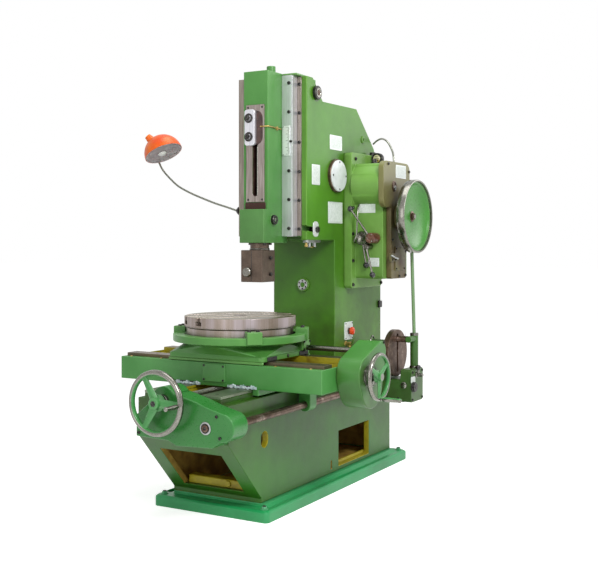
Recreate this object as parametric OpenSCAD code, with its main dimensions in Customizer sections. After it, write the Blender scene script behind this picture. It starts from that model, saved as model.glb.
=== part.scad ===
// Keyway slotting machine with a round table and a tilting ram guide.
// Millimetres. X is to the right, Y to the rear, Z up. Origin: centre of the plinth, on the floor.

/* [Plinth] */
// width of the plinth across the machine
plinth_w = 594; // [570:1:680]
// length of the plinth front to back
plinth_l = 1433; // [1420:1:1600]
// height of the plinth edge
plinth_h = 50; // [40:1:56]
// corner radius of the plinth in plan
plinth_r = 22; // [5:1:40]
// round on the top edge of the plinth
plinth_edge = 9; // [2:1:14]
// width of the level margin outside the raised foot
margin_w = 30; // [20:1:40]
// height of the raised foot above the plinth edge
foot_rise = 14; // [6:1:24]
// width of the bevel round the raised foot
foot_bevel = 20; // [6:1:26]
// depth of the drain gutters in the plinth
gutter_depth = 18; // [8:1:25]
// width of the drain gutters
gutter_w = 30; // [16:1:32]
// radius of the anchor bolt holes
anchor_r = 9; // [6:0.5:12]
// distance of the anchor bolts from the plinth ends
anchor_in_y = 34; // [28:1:40]
// distance of the anchor bolts from the plinth sides
anchor_in_x = 36; // [28:1:46]

/* [Bed] */
// width of the bed casting
bed_w = 460; // [440:1:480]
// distance of the bed rear from the plinth end
bed_rear_in = 76; // [60:1:90]
// distance of the bed foot from the plinth front
bed_foot_in = 60; // [50:1:80]
// overhang of the nose in front of the bed foot
nose_out = 249; // [220:1:280]
// height of the band under the undercut front
toe_h = 20; // [10:1:36]
// height of the nose face under the ways
nose_h = 193; // [170:1:210]
// height of the top of the bed ways
way_top = 545; // [520:1:580]
// thickness of the wear strips on the bed
way_strip_t = 12; // [8:1:16]
// distance between the inner edges of the bed ways
way_apart = 190; // [170:1:200]
// width of one bed way
way_w = 100; // [85:1:105]
// depth of the shelf beside the ways
shelf_drop = 33; // [25:1:45]
// depth of the trough between the bed ways
trough_drop = 93; // [75:1:100]
// wall thickness of the bed casting
bed_wall = 30; // [20:1:40]
// thickness of the bed deck under the trough
deck_t = 26; // [16:1:34]
// length of the side window
window_l = 334; // [260:1:360]
// height of the side window
window_h = 169; // [120:1:190]
// height of the sill of the side window above the foot
window_sill = 20; // [10:1:40]
// distance of the side window from the bed rear
window_in = 258; // [230:1:300]
// width of the opening in the undercut front
front_open_w = 312; // [240:1:360]
// height of the opening in the undercut front
front_open_h = 184; // [140:1:200]
// height of the sill of the front opening above the toe
front_open_sill = 24; // [16:1:40]
// distance of the oval side hole behind the bed foot
oval_back = 26; // [22:1:60]
// height of the oval side hole
oval_z = 330; // [315:1:345]
// width of the oval side hole
oval_w = 54; // [40:1:60]
// height of the opening of the oval side hole
oval_h = 68; // [62:1:80]
// width of the jack slot in the bed side
jack_w = 12; // [8:1:20]
// height of the jack slot in the bed side
jack_h = 38; // [20:1:50]

/* [Column] */
// width of the column and the arm above it
column_w = 352; // [340:1:366]
// depth of the column front to back
column_depth = 532; // [500:1:560]
// height of the arm underside above the bed ways
throat_h = 632; // [600:1:660]
// reach of the arm in front of the column
arm_reach = 280; // [272:1:300]
// height of the arm from its underside to its top
arm_h = 771; // [740:1:800]
// drop of the arm top behind the pivot
arm_drop = 102; // [80:1:120]
// height of the sloped rear corner of the arm
arm_slope_h = 189; // [160:1:220]
// length of the sloped rear corner of the arm
arm_slope_l = 207; // [180:1:230]
// thickness of one arm cheek
cheek_t = 30; // [24:1:34]
// depth of the space between the cheeks
cheek_depth = 236; // [225:1:250]
// thickness of the rear cover plate
rear_cover_t = 10; // [6:1:16]
// height of the rear cover plate
rear_cover_h = 630; // [500:1:700]

/* [Guide] */
// drop of the tilt pivot below the arm top
pivot_drop = 70; // [62:1:84]
// distance of the tilt pivot behind the arm front
pivot_back = 88; // [78:1:96]
// radius of the tilt pivot pin
pivot_r = 24; // [16:0.5:28]
// radius of the cap on the tilt pivot
pivot_cap_r = 33; // [30:1:38]
// thickness of the cap on the tilt pivot
pivot_cap_t = 16; // [8:1:24]
// largest tilt of the guide
tilt_max = 8; // [4:1:8]
// height of the clamp bolt above the arm underside
clamp_rise = 51; // [44:1:80]
// distance of the clamp bolt behind the pivot
clamp_back = 4; // [0:1:10]
// radius of the clamp bolt shank
clamp_r = 9; // [6:0.5:11]
// radius of the clamp bolt head
clamp_head_r = 15; // [14:1:18]
// play of the clamp bolt in its curved slot
clamp_play = 2; // [1:0.5:4]
// clearance of sliding faces
slide_gap = 0.3; // [0.2:0.05:0.5]
// height of the lower end of the guide above the arm underside
guide_rise = 18; // [12:1:30]
// height of the guide above the arm top
guide_over = 1; // [0:1:4]
// distance of the guide front before the arm front
guide_out = -4; // [-6:1:0]
// thickness of the guide casting
guide_t = 138; // [124:1:146]
// thickness of the gib plates
gib_t = 48; // [36:1:54]
// width of a gib plate
gib_w = 57; // [48:1:64]
// width of the outer ledge of the left gib plate
ledge_w = 52; // [40:1:56]
// thickness of the outer ledge of the left gib plate
ledge_t = 26; // [20:1:30]
// thickness of the cap strips on top of the guide
cap_t = 8; // [4:1:12]
// thickness of the scale plate
scale_t = 4; // [2:0.5:8]
// height of the scale plate
scale_h = 139; // [120:1:160]
// drop of the scale plate top below the guide top
scale_drop = 237; // [200:1:260]

/* [Ram] */
// half width of the ram body
ram_half = 66; // [60:0.5:72]
// distance of the ram front before the gib plates
ram_out = 124; // [110:1:136]
// half width of the ram flange behind the gibs
ram_flange_half = 100; // [90:1:112]
// thickness of the ram flange
ram_flange_t = 28; // [20:1:36]
// drop of the lower end of the ram below the arm underside
ram_drop = 13; // [5:1:25]
// height of the ram above the guide top
ram_over = 10; // [4:1:24]
// height of the proud block at the lower end of the ram
proud_h = 155; // [130:1:170]
// how far the lower block stands proud
proud_out = 36; // [24:1:44]
// width of the slot plate on the ram
slot_plate_w = 99; // [90:1:110]
// gap between the lower block and the slot plate
slot_plate_gap = 34; // [24:1:44]
// height of the slot plate
slot_plate_h = 449; // [420:1:470]
// thickness of the slot plate
slot_plate_t = 5; // [2:0.5:8]
// width of the ram adjusting slot
slot_w = 31; // [22:1:36]
// height of the ram adjusting slot
slot_h = 396; // [340:1:400]
// depth of the adjusting slot
slot_depth = 70; // [30:1:90]
// width of the ram clamp block
block_w = 55; // [44:1:60]
// height of the ram clamp block
block_h = 167; // [120:1:180]
// drop of the clamp block below the slot plate top
block_drop = 22; // [14:1:60]
// thickness of the ram clamp block
block_t = 18; // [10:1:24]
// side shift of the ram clamp block
block_shift = 20; // [0:1:22]
// radius of the clamp block nuts
block_nut_r = 15; // [10:1:18]
// height of the clamp block nuts
block_nut_t = 12; // [6:1:16]
// distance between the clamp block nuts
block_nut_pitch = 86; // [70:1:100]
// radius of the adjusting screw boss on top of the ram
screw_boss_r = 21; // [14:1:26]
// height of the adjusting screw boss above the ram
screw_boss_h = 31; // [20:1:40]
// side shift of the adjusting screw boss
screw_boss_x = 30; // [0:1:40]
// distance of the adjusting screw boss behind the ram front
screw_boss_back = 88; // [60:1:100]
// radius of the round lock on the ram side
lock_r = 16; // [10:1:20]
// length of the round lock on the ram side
lock_l = 14; // [8:1:24]

/* [Tool head] */
// half width of the tool head
tool_half = 57; // [50:1:64]
// depth of the tool head front to back
tool_depth = 115; // [100:1:125]
// distance of the tool head front before the ram front
tool_out = 37; // [30:1:44]
// height of the tool head block
tool_h = 147; // [130:1:160]
// height of the neck above the tool head
neck_h = 33; // [20:1:44]
// radius of the neck of the tool head
neck_r = 44; // [36:1:50]
// radius of the tool bore
tool_bore_r = 16; // [10:0.5:22]
// depth of the tool bore
tool_bore_h = 110; // [70:1:120]
// radius of the tool clamp screw head
tool_screw_r = 13; // [8:0.5:16]
// length of the tool clamp screw head
tool_screw_l = 14; // [8:1:20]

/* [Saddle] */
// reach of the saddle to the left
saddle_left = 517; // [500:1:530]
// reach of the saddle to the right
saddle_right = 530; // [520:1:545]
// distance of the table middle in front of the column
table_out = 578; // [560:1:590]
// width of the saddle front to back
saddle_w = 410; // [400:1:430]
// height of the saddle rims above the bed ways
saddle_h = 101; // [92:1:110]
// width of the saddle rims
saddle_rim_w = 35; // [28:1:42]
// height of the cross ways above the saddle rims
cross_way_rise = 14; // [8:1:20]
// thickness of the cross way strips
cross_way_t = 25; // [16:1:30]
// width of one cross way
cross_way_w = 68; // [60:1:72]
// thickness of the saddle floor under the trough
saddle_floor = 29; // [22:1:34]
// thickness of the saddle ends
saddle_end_t = 30; // [22:1:40]
// length of the saddle end housing
housing_l = 110; // [90:1:130]
// radius of the lower round of the end housing
housing_r = 100; // [90:1:106]
// height of the cross screw above the bed ways
cross_screw_rise = 63; // [58:1:66]
// radius of the cross screw
cross_screw_r = 15; // [10:0.5:18]
// radius of the dial collar
dial_r = 44; // [38:1:48]
// length of the dial collar
dial_l = 28; // [20:1:34]
// drop of the table drive shaft below the table ring
drive_drop = 35; // [30:1:38]
// distance of the table drive shaft behind the table middle
drive_back = 140; // [136:1:150]
// radius of the table drive shaft
drive_r = 12; // [9:0.5:14]
// length of the worm box on the cross slide
worm_l = 66; // [50:1:80]
// half width of the worm box
worm_half = 34; // [26:1:38]
// size of the screw nuts round their screws
nut_wall = 13; // [9:1:16]
// length of the bed nut block
nut_l = 100; // [60:1:140]

/* [Cross slide] */
// half length of the cross slide
cross_half = 250; // [235:1:262]
// height of the straight foot of the cross slide
cross_base_h = 22; // [14:1:28]
// height of the cross slide from the ways to the table ring
cross_h = 70; // [64:1:80]
// radius of the waist under the table ring
waist_r = 246; // [225:1:262]
// thickness of the table ring
ring_t = 31; // [26:1:36]
// radius of the table ring
ring_r = 300; // [290:1:308]
// height of the lugs above the table ring
lug_h = 26; // [20:1:28]
// width of a lug on the table ring
lug_w = 66; // [50:1:80]

/* [Table] */
// radius of the round table
table_r = 250; // [240:1:260]
// height of the round table above its ring
table_h = 81; // [76:1:90]
// thickness of the round table rim
table_rim_t = 46; // [40:1:50]
// step in from the table rim to its base
table_step = 10; // [6:1:20]
// width of the narrow part of a table slot
tslot_w = 22; // [14:1:26]
// width of the wide part of a table slot
tslot_wide = 37; // [30:1:42]
// depth of the narrow part of a table slot
tslot_lip = 18; // [12:1:24]
// height of the wide part of a table slot
tslot_deep = 16; // [10:1:20]
// distance between the table slots
tslot_pitch = 110; // [90:1:130]
// angle at which the table stands
table_turn = 50; // [0:1:90]
// radius of the centre bore of the table
table_bore_r = 30; // [20:0.5:40]
// depth of the centre bore of the table
table_bore_h = 60; // [40:1:70]

/* [Hand wheels] */
// radius of the front hand wheel
front_wheel_r = 134; // [120:1:140]
// side shift of the front hand wheel to the left
front_wheel_shift = 13; // [4:1:24]
// drop of the bed screw below the bed ways
bed_screw_drop = 21; // [18:1:26]
// distance of the front hand wheel before the end cover
front_wheel_out = 50; // [40:1:60]
// radius of the front hand wheel rim section
front_rim_r = 14; // [10:0.5:16]
// radius of the front hand wheel hub
front_hub_r = 34; // [26:1:40]
// radius of the bed screw
bed_screw_r = 15; // [10:0.5:18]
// radius of the cross hand wheel
cross_wheel_r = 101; // [90:1:110]
// distance of the cross hand wheel beyond the dial
cross_wheel_out = 22; // [18:1:30]
// radius of the cross hand wheel rim section
cross_rim_r = 10; // [7:0.5:12]
// radius of the cross hand wheel hub
cross_hub_r = 26; // [20:1:32]
// length of the wheel handles
handle_l = 100; // [80:1:115]
// radius of the wheel handles
handle_r = 10; // [7:0.5:12]
// radius of the main hand wheel
main_wheel_r = 184; // [170:1:190]
// width of the main wheel rim
main_rim_w = 45; // [36:1:50]
// distance of the main wheel face beyond the end plate
main_wheel_out = 105; // [100:1:112]
// distance of the main wheel axis behind the drum axis
main_wheel_back = 81; // [75:1:90]
// drop of the main wheel axis below the drum axis
main_wheel_drop = 155; // [150:1:165]
// radius of the main wheel hub
main_hub_r = 40; // [32:1:44]
// running clearance of shafts in their bores
run_gap = 0.08; // [0.03:0.01:0.1]

/* [End cover] */
// thickness of the end cover
cover_t = 105; // [80:1:120]
// reach of the end cover to the left
cover_left = 155; // [146:1:170]
// depth of the end cover below the bed ways
cover_drop = 177; // [166:1:188]
// radius of the end cover lobe round the spline shaft
cover_lobe_r = 56; // [48:1:60]
// radius of the end cover lobe round the hand wheel
wheel_lobe_r = 62; // [52:1:72]
// drop of the spline shaft below the bed ways
spline_drop = 104; // [98:1:110]
// distance of the spline shaft from the bed side
spline_out = 40; // [34:1:44]
// radius of the spline shaft
spline_r = 15; // [11:0.5:17]
// radius of the stud hole in the end cover
stud_r = 22; // [14:1:26]
// place of the stud hole across the machine
stud_x = 193; // [176:1:204]
// drop of the stud hole below the bed ways
stud_drop = 112; // [106:1:118]

/* [Gearbox] */
// thickness of the gearbox flange
gear_flange_t = 43; // [34:1:50]
// distance of the gearbox flange behind the column front
gear_flange_back = 99; // [90:1:105]
// length of the gearbox flange
gear_flange_l = 356; // [340:1:370]
// drop of the gearbox flange below the arm underside
gear_flange_drop = 240; // [225:1:252]
// height of the gearbox flange
gear_flange_h = 681; // [660:1:700]
// width of the gearbox beyond its flange
gear_w = 153; // [140:1:165]
// step of the box behind the flange front
gear_step = 39; // [30:1:50]
// length of the gearbox
gear_l = 294; // [280:1:305]
// height of the gearbox
gear_h = 577; // [560:1:590]
// height of the gearbox underside above the flange underside
gear_rise = 48; // [36:1:60]
// radius of the round gear housing
drum_r = 112; // [104:1:120]
// distance of the round housing axis behind the box front
drum_back = 60; // [54:1:66]
// drop of the round housing axis below the box top
drum_drop = 110; // [104:1:118]
// thickness of the gearbox end plate
end_plate_t = 28; // [20:1:34]
// length of the lower part of the end plate
end_plate_l = 222; // [205:1:240]
// radius of the bearing cover on the arm
bearing_r = 82; // [70:1:84]
// thickness of the bearing cover
bearing_t = 24; // [14:1:30]
// distance of the bearing cover behind the column front
bearing_back = 10; // [0:1:12]
// height of the bearing cover above the arm underside
bearing_rise = 318; // [300:1:335]
// radius of the oil sight
sight_r = 30; // [24:1:34]
// depth of the oil sight body
sight_t = 30; // [20:1:36]
// height of the lever hubs above the box underside
hub_rise = 203; // [190:1:215]
// distance of the first lever hub from the flange
hub_in = 49; // [43:1:53]
// distance between the two large lever hubs
hub_apart = 66; // [62:1:72]
// radius of the lever hubs
hub_r = 28; // [22:1:30]
// radius of a lever rod
lever_r = 6; // [4:0.5:8]
// radius of a lever ball
ball_r = 15; // [11:1:18]
// depth of the lever spindles in the box
spindle_l = 30; // [20:1:40]
// length of the long lever
long_lever_l = 182; // [150:1:190]
// angle of the long lever from the X axis
long_angle = 127; // [115:1:140]
// how far the long lever hub stands out
long_out = 70; // [66:1:80]
// length of the short lever
short_lever_l = 136; // [110:1:140]
// angle of the short lever from the X axis
short_angle = -81; // [-90:1:-76]
// how far the short lever hub stands out
short_out = 26; // [22:1:30]
// distance of the middle lever hub from the first hub
hub_c_in = 38; // [36:1:40]
// drop of the middle lever hub below the others
hub_c_drop = 42; // [40:1:48]
// radius of the middle lever hub
hub_c_r = 14; // [10:0.5:15]
// length of the middle lever
middle_lever_l = 143; // [120:1:150]
// angle of the middle lever from the X axis
middle_angle = -76; // [-84:1:-70]
// how far the middle lever hub stands out
middle_out = 60; // [56:1:66]

/* [Feed drive] */
// depth of the feed box below the bed ways
feed_drop = 179; // [165:1:190]
// height of the feed box
feed_h = 164; // [150:1:175]
// distance of the feed box behind the column front
feed_back = 242; // [232:1:252]
// length of the feed box
feed_l = 150; // [140:1:170]
// width of the feed box beyond the bed side
feed_w = 250; // [245:1:258]
// width of the inner part of the feed box
feed_inner = 110; // [96:1:116]
// gap in the feed box for the crank disc
feed_gap = 82; // [76:1:90]
// radius of the crank disc
crank_r = 118; // [105:1:120]
// thickness of the crank disc
crank_t = 30; // [20:1:36]
// height of the crank disc axis above the bed ways
crank_rise = 63; // [55:1:75]
// distance of the crank disc axis behind the feed box front
crank_back = 35; // [28:1:44]
// width of the slot in the crank disc
crank_slot_w = 18; // [12:1:24]
// depth of the slot in the crank disc
crank_slot_d = 10; // [6:1:16]
// radius of the feed rod
rod_r = 8.5; // [6:0.5:11]
// radius of the sleeve under the feed rod
sleeve_r = 20.5; // [16:0.5:24]
// distance of the feed rod from the bed side
rod_out = 225; // [221:1:229]
// distance of the feed rod behind the feed box front
rod_back = 95; // [86:1:100]
// height of the sleeve above the feed box
sleeve_h = 175; // [165:1:190]
// outer radius of the strap on the main shaft
strap_r = 72; // [64:1:80]
// play of the strap round the main shaft
strap_play = 6; // [5:1:12]
// radius of the crank pin
crank_pin_r = 16; // [12:1:19]

/* [Stop button] */
// width of the stop button plate
button_plate_w = 86; // [60:1:100]
// radius of the stop button
button_r = 20; // [14:1:26]

/* [Lamp] */
// radius of the lamp tube
lamp_tube_r = 5; // [4:0.5:7]
// radius of the lamp shade mouth
shade_r = 95; // [85:1:105]
// wall thickness of the lamp shade
shade_wall = 2; // [1.5:0.5:3]
// radius of the lamp holder
holder_r = 16; // [12:1:20]
// radius of the lamp foot on the guide
lamp_foot_r = 20; // [14:1:24]
// length of the lamp foot
lamp_foot_l = 16; // [12:1:24]
// height of the lamp foot above the guide's lower end
lamp_foot_rise = 124; // [110:1:140]
// reach of the lamp shade to the left of the machine's middle
lamp_reach = 563; // [540:1:580]
// distance of the lamp shade before the gib plates
lamp_ahead = 84; // [78:1:90]
// height of the lamp shade above the guide's lower end
lamp_rise = 411; // [400:1:420]

/* [Output] */
// the piece to build, or all

/* [Hidden] */
green = [0.25, 0.56, 0.27];
steel = [0.72, 0.73, 0.76];
dark = [0.12, 0.12, 0.13];
brown = [0.42, 0.36, 0.32];
eps = 0.5;
// plinth and bed
foot_z = plinth_h + foot_rise;
foot_half = plinth_w / 2 - margin_w;
bed_half = bed_w / 2;
bed_rear_y = plinth_l / 2 - bed_rear_in;
bed_foot_y = -plinth_l / 2 + bed_foot_in;
bed_nose_y = bed_foot_y - nose_out;
bed_toe_z = foot_z + toe_h;
bed_chin_z = way_top - nose_h;
way_in = way_apart / 2;
way_out = way_in + way_w;
trough_z = way_top - trough_drop;
shelf_z = way_top - shelf_drop;
// column and arm
column_half = column_w / 2;
column_front_y = bed_rear_y - column_depth;
deck_end_y = column_front_y - 8;
arm_z = way_top + throat_h;
arm_top_z = arm_z + arm_h;
arm_front_y = column_front_y - arm_reach;
// guide and ram
pivot_z = arm_top_z - pivot_drop;
pivot_y = arm_front_y + pivot_back;
clamp_z = arm_z + clamp_rise;
clamp_y = pivot_y + clamp_back;
guide_half = column_half - cheek_t - slide_gap;
guide_z0 = arm_z + guide_rise;
guide_z1 = arm_top_z + guide_over;
guide_front_y = arm_front_y - guide_out;
guide_rear_y = guide_front_y + guide_t;
gib_front_y = guide_front_y - gib_t;
gib_in = ram_half + slide_gap;
gib_out = gib_in + gib_w;
ram_front_y = gib_front_y - ram_out;
ram_flange_y = guide_front_y + ram_flange_t;
ram_z0 = arm_z - ram_drop;
ram_z1 = guide_z1 + ram_over;
proud_y = ram_front_y - proud_out;
proud_z1 = ram_z0 + proud_h;
slot_plate_z0 = proud_z1 + slot_plate_gap;
slot_plate_z1 = slot_plate_z0 + slot_plate_h;
slot_z0 = slot_plate_z0 + (slot_plate_h - slot_h) / 2;
block_z = slot_plate_z1 - block_drop - block_h / 2;
tool_front_y = ram_front_y - tool_out;
tool_y = tool_front_y + tool_depth / 2;
tool_z1 = ram_z0 - neck_h;
tool_z0 = tool_z1 - tool_h;
// saddle, cross slide and table
table_y = column_front_y - table_out;
saddle_x0 = -saddle_left;
saddle_x1 = saddle_right;
saddle_y0 = table_y - saddle_w / 2;
saddle_y1 = table_y + saddle_w / 2;
saddle_z0 = way_top + slide_gap;
saddle_rim_z = way_top + saddle_h;
cross_way_z = saddle_rim_z + cross_way_rise;
cross_z0 = cross_way_z + slide_gap;
cross_screw_z = way_top + cross_screw_rise;
ring_z0 = cross_way_z + cross_h;
ring_z1 = ring_z0 + ring_t;
ring_dish = 3;
lug_angles = [-45, 25, 110, 195];
table_z0 = ring_z1 - ring_dish + slide_gap;
table_top = table_z0 + table_h - slide_gap;
table_base_r = table_r - table_step;
drive_z = ring_z0 - drive_drop;
drive_y = table_y + drive_back;
worm_x1 = cross_half + 12;
// wheels, shafts and end cover
cover_front_y = bed_nose_y - cover_t;
front_wheel_x = -front_wheel_shift;
front_wheel_z = way_top - bed_screw_drop;
front_wheel_y = cover_front_y - front_wheel_out;
spline_x = bed_half + spline_out;
spline_z = way_top - spline_drop;
dial_x0 = saddle_x1 + housing_l;
cross_wheel_x = dial_x0 + dial_l + cross_wheel_out;
nut_half = bed_screw_r + nut_wall;
// gearbox
gear_flange_x = column_half + gear_flange_t;
gear_flange_y0 = column_front_y + gear_flange_back;
gear_flange_z0 = arm_z - gear_flange_drop;
gear_x1 = gear_flange_x + gear_w;
gear_y0 = gear_flange_y0 + gear_step;
gear_z0 = gear_flange_z0 + gear_rise;
gear_z1 = gear_z0 + gear_h;
drum_y = gear_y0 + drum_back;
drum_z = gear_z1 - drum_drop;
end_plate_x1 = gear_x1 + end_plate_t;
main_wheel_x = end_plate_x1 + main_wheel_out;
main_wheel_y = drum_y + main_wheel_back;
main_wheel_z = drum_z - main_wheel_drop;
bearing_y = column_front_y + bearing_back;
bearing_z = arm_z + bearing_rise;
hub_z = gear_z0 + hub_rise;
hub_a_x = gear_flange_x + hub_in;
hub_b_x = hub_a_x + hub_apart;
hub_c_x = hub_a_x + hub_c_in;
hub_c_z = hub_z - hub_c_drop;
// feed drive
feed_z0 = way_top - feed_drop;
feed_z1 = feed_z0 + feed_h;
feed_y0 = column_front_y + feed_back;
feed_y1 = feed_y0 + feed_l;
feed_x1 = bed_half + feed_w;
feed_in_x = bed_half + feed_inner;
crank_y = feed_y0 + crank_back;
crank_z = way_top + crank_rise;
crank_x0 = feed_in_x + 20;
rod_x = bed_half + rod_out;
rod_y = feed_y0 + rod_back;
sleeve_z1 = feed_z1 + sleeve_h;
// lamp
lamp_foot_x = -gib_out - ledge_w;
lamp_foot_z = guide_z0 + lamp_foot_rise;
shade_at = [-lamp_reach, gib_front_y - lamp_ahead, guide_z0 + lamp_rise];
shade_tip = [-3, -28, 0];
holder_way = [-0.594, -0.341, 0.728];

module box(x0, x1, y0, y1, z0, z1) {
  translate([x0, y0, z0]) cube([x1 - x0, y1 - y0, z1 - z0]);
}
module side_form(x0, x1) {
  translate([x0, 0, 0]) rotate([90, 0, 90]) linear_extrude(height = x1 - x0) children();
}
module rod_x(r, x0, x1, y, z, fn = 48) {
  translate([x0, y, z]) rotate([0, 90, 0]) cylinder(h = x1 - x0, r = r, $fn = fn);
}
module rod_along_y(r, x, y0, y1, z, fn = 48) {
  translate([x, y0, z]) rotate([-90, 0, 0]) cylinder(h = y1 - y0, r = r, $fn = fn);
}
module rod_z(r, x, y, z0, z1, fn = 48) {
  translate([x, y, z0]) cylinder(h = z1 - z0, r = r, $fn = fn);
}
module soft_rect(w, l, r) {
  offset(r = r, $fn = 32) square([w - 2 * r, l - 2 * r], center = true);
}
module soft_corner(y0, y1, z0, z1, r) {
  translate([(y0 + y1) / 2, (z0 + z1) / 2]) soft_rect(y1 - y0, z1 - z0, r);
}

// Plinth: level edge with a rounded rim, gutters at the left and rear, raised foot.
module base_plinth() {
  rear_gutter_y = bed_rear_y + (plinth_l / 2 - bed_rear_y - gutter_w) / 2;
  gutter_x0 = -plinth_w / 2 + margin_w / 2;
  color(green) difference() {
    union() {
      linear_extrude(height = plinth_h - plinth_edge) soft_rect(plinth_w, plinth_l, plinth_r);
      translate([0, 0, plinth_h - plinth_edge]) hull() {
        linear_extrude(height = 0.1) soft_rect(plinth_w, plinth_l, plinth_r);
        translate([0, 0, plinth_edge - 0.1]) linear_extrude(height = 0.1)
          soft_rect(plinth_w - 2 * plinth_edge, plinth_l - 2 * plinth_edge, plinth_r);
      }
      hull() {
        box(-bed_half, foot_half, bed_foot_y, bed_rear_y, plinth_h - 1, plinth_h);
        box(-bed_half, foot_half - foot_bevel, bed_foot_y, bed_rear_y, plinth_h, foot_z);
      }
    }
    box(gutter_x0, gutter_x0 + gutter_w, -plinth_l / 2 + 2 * anchor_in_y, plinth_l / 2 - 2 * anchor_in_y,
      plinth_h - gutter_depth, foot_z);
    box(-foot_half + margin_w, foot_half - margin_w, rear_gutter_y,
      rear_gutter_y + gutter_w, plinth_h - gutter_depth, foot_z);
    for (sx = [-1, 1], sy = [-1, 1])
      rod_z(anchor_r, sx * (plinth_w / 2 - anchor_in_x), sy * (plinth_l / 2 - anchor_in_y), -1, foot_z + 1);
  }
}

// Bed: hollow box casting with an undercut nose, a side window and a front opening.
module bed_outline(shrink) {
  offset(delta = -shrink) polygon([[bed_foot_y, foot_z], [bed_foot_y, bed_toe_z],
    [bed_nose_y, bed_chin_z], [bed_nose_y, way_top], [bed_rear_y, way_top], [bed_rear_y, foot_z]]);
}
module bed() {
  window_y1 = bed_rear_y - window_in;
  window_z0 = foot_z + window_sill;
  front_open_z0 = bed_toe_z + front_open_sill;
  jack_y = window_y1 - window_l - 68;
  color(green) difference() {
    side_form(-bed_half, bed_half) bed_outline(0);
    side_form(-bed_half + bed_wall, bed_half - bed_wall) intersection() {
      union() {
        bed_outline(bed_wall);
        translate([bed_foot_y + bed_wall, foot_z - 1])
          square([bed_rear_y - bed_foot_y - 2 * bed_wall, bed_wall + 2]);
      }
      translate([bed_nose_y, 0]) square([bed_rear_y - bed_nose_y, trough_z - deck_t]);
    }
    box(-way_in, way_in, bed_nose_y - 1, deck_end_y, trough_z, way_top + 1);
    box(-bed_half - 1, bed_half + 1, bed_nose_y - 1, deck_end_y, way_top - way_strip_t, way_top + 1);
    for (s = [0, 1]) mirror([s, 0, 0])
      box(way_out, bed_half + 1, bed_nose_y - 1, deck_end_y, shelf_z, way_top + 1);
    box(bed_half - bed_wall - 1, bed_half + 1, window_y1 - window_l, window_y1, window_z0,
      window_z0 + window_h);
    box(-front_open_w / 2, front_open_w / 2, bed_nose_y - 1, bed_foot_y + 2 * bed_wall,
      front_open_z0, front_open_z0 + front_open_h);
    box(bed_half - bed_wall - 1, bed_half + 1, jack_y - jack_w, jack_y, window_z0, window_z0 + jack_h);
    translate([bed_half - bed_wall - 1, bed_foot_y + oval_back, oval_z]) rotate([0, 90, 0])
      linear_extrude(height = bed_wall + 2) hull() for (s = [-1, 1])
        translate([s * (oval_h - oval_w) / 2, 0]) circle(d = oval_w, $fn = 32);
  }
}
module bed_ways() {
  color(brown) for (s = [0, 1]) mirror([s, 0, 0])
    box(way_in, way_out, bed_nose_y, deck_end_y, way_top - way_strip_t, way_top);
}

// Column with the forked arm that carries the tilting ram guide.
module column() {
  crest_l = 62;
  step_l = 161;
  mid_z = arm_top_z - arm_drop;
  slope_y = bed_rear_y - arm_slope_l * 0.4;
  color(green) difference() {
    side_form(-column_half, column_half) polygon([[column_front_y, way_top], [column_front_y, arm_z],
      [arm_front_y, arm_z], [arm_front_y, arm_top_z], [arm_front_y + crest_l, arm_top_z],
      [arm_front_y + step_l, mid_z], [slope_y - arm_slope_l, mid_z + 6],
      [slope_y, mid_z + 6 - arm_slope_h], [bed_rear_y, mid_z - 2 * arm_slope_h + 12],
      [bed_rear_y, way_top]]);
    box(-column_half + cheek_t, column_half - cheek_t, arm_front_y - 1, arm_front_y + cheek_depth,
      arm_z - 1, arm_top_z + 1);
    rod_x(pivot_r, -column_half - 1, column_half + 1, pivot_y, pivot_z);
    tilt_slot(clamp_r + clamp_play);
  }
}
// Curved slot that lets the clamp bolt swing with the guide.
module tilt_slot(r) {
  swing_r = sqrt(pow(pivot_z - clamp_z, 2) + pow(clamp_y - pivot_y, 2));
  start = atan2(clamp_z - pivot_z, clamp_y - pivot_y);
  reach = swing_r * 1.2;
  for (a = [start, start - tilt_max])
    rod_x(r, -column_half - 1, column_half + 1, pivot_y + swing_r * cos(a), pivot_z + swing_r * sin(a), 32);
  intersection() {
    difference() {
      rod_x(swing_r + r, -column_half - 1, column_half + 1, pivot_y, pivot_z, 360);
      rod_x(swing_r - r, -column_half - 2, column_half + 2, pivot_y, pivot_z, 360);
    }
    side_form(-column_half - 1, column_half + 1) polygon([[pivot_y, pivot_z],
      [pivot_y + reach * cos(start), pivot_z + reach * sin(start)],
      [pivot_y + reach * cos(start - tilt_max), pivot_z + reach * sin(start - tilt_max)]]);
  }
}
module rear_cover() {
  rear_cover_z0 = way_top + 155;
  color(green) box(-column_half + 2 * cheek_t, column_half - 2 * cheek_t, bed_rear_y,
    bed_rear_y + rear_cover_t, rear_cover_z0, rear_cover_z0 + rear_cover_h);
}

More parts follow.
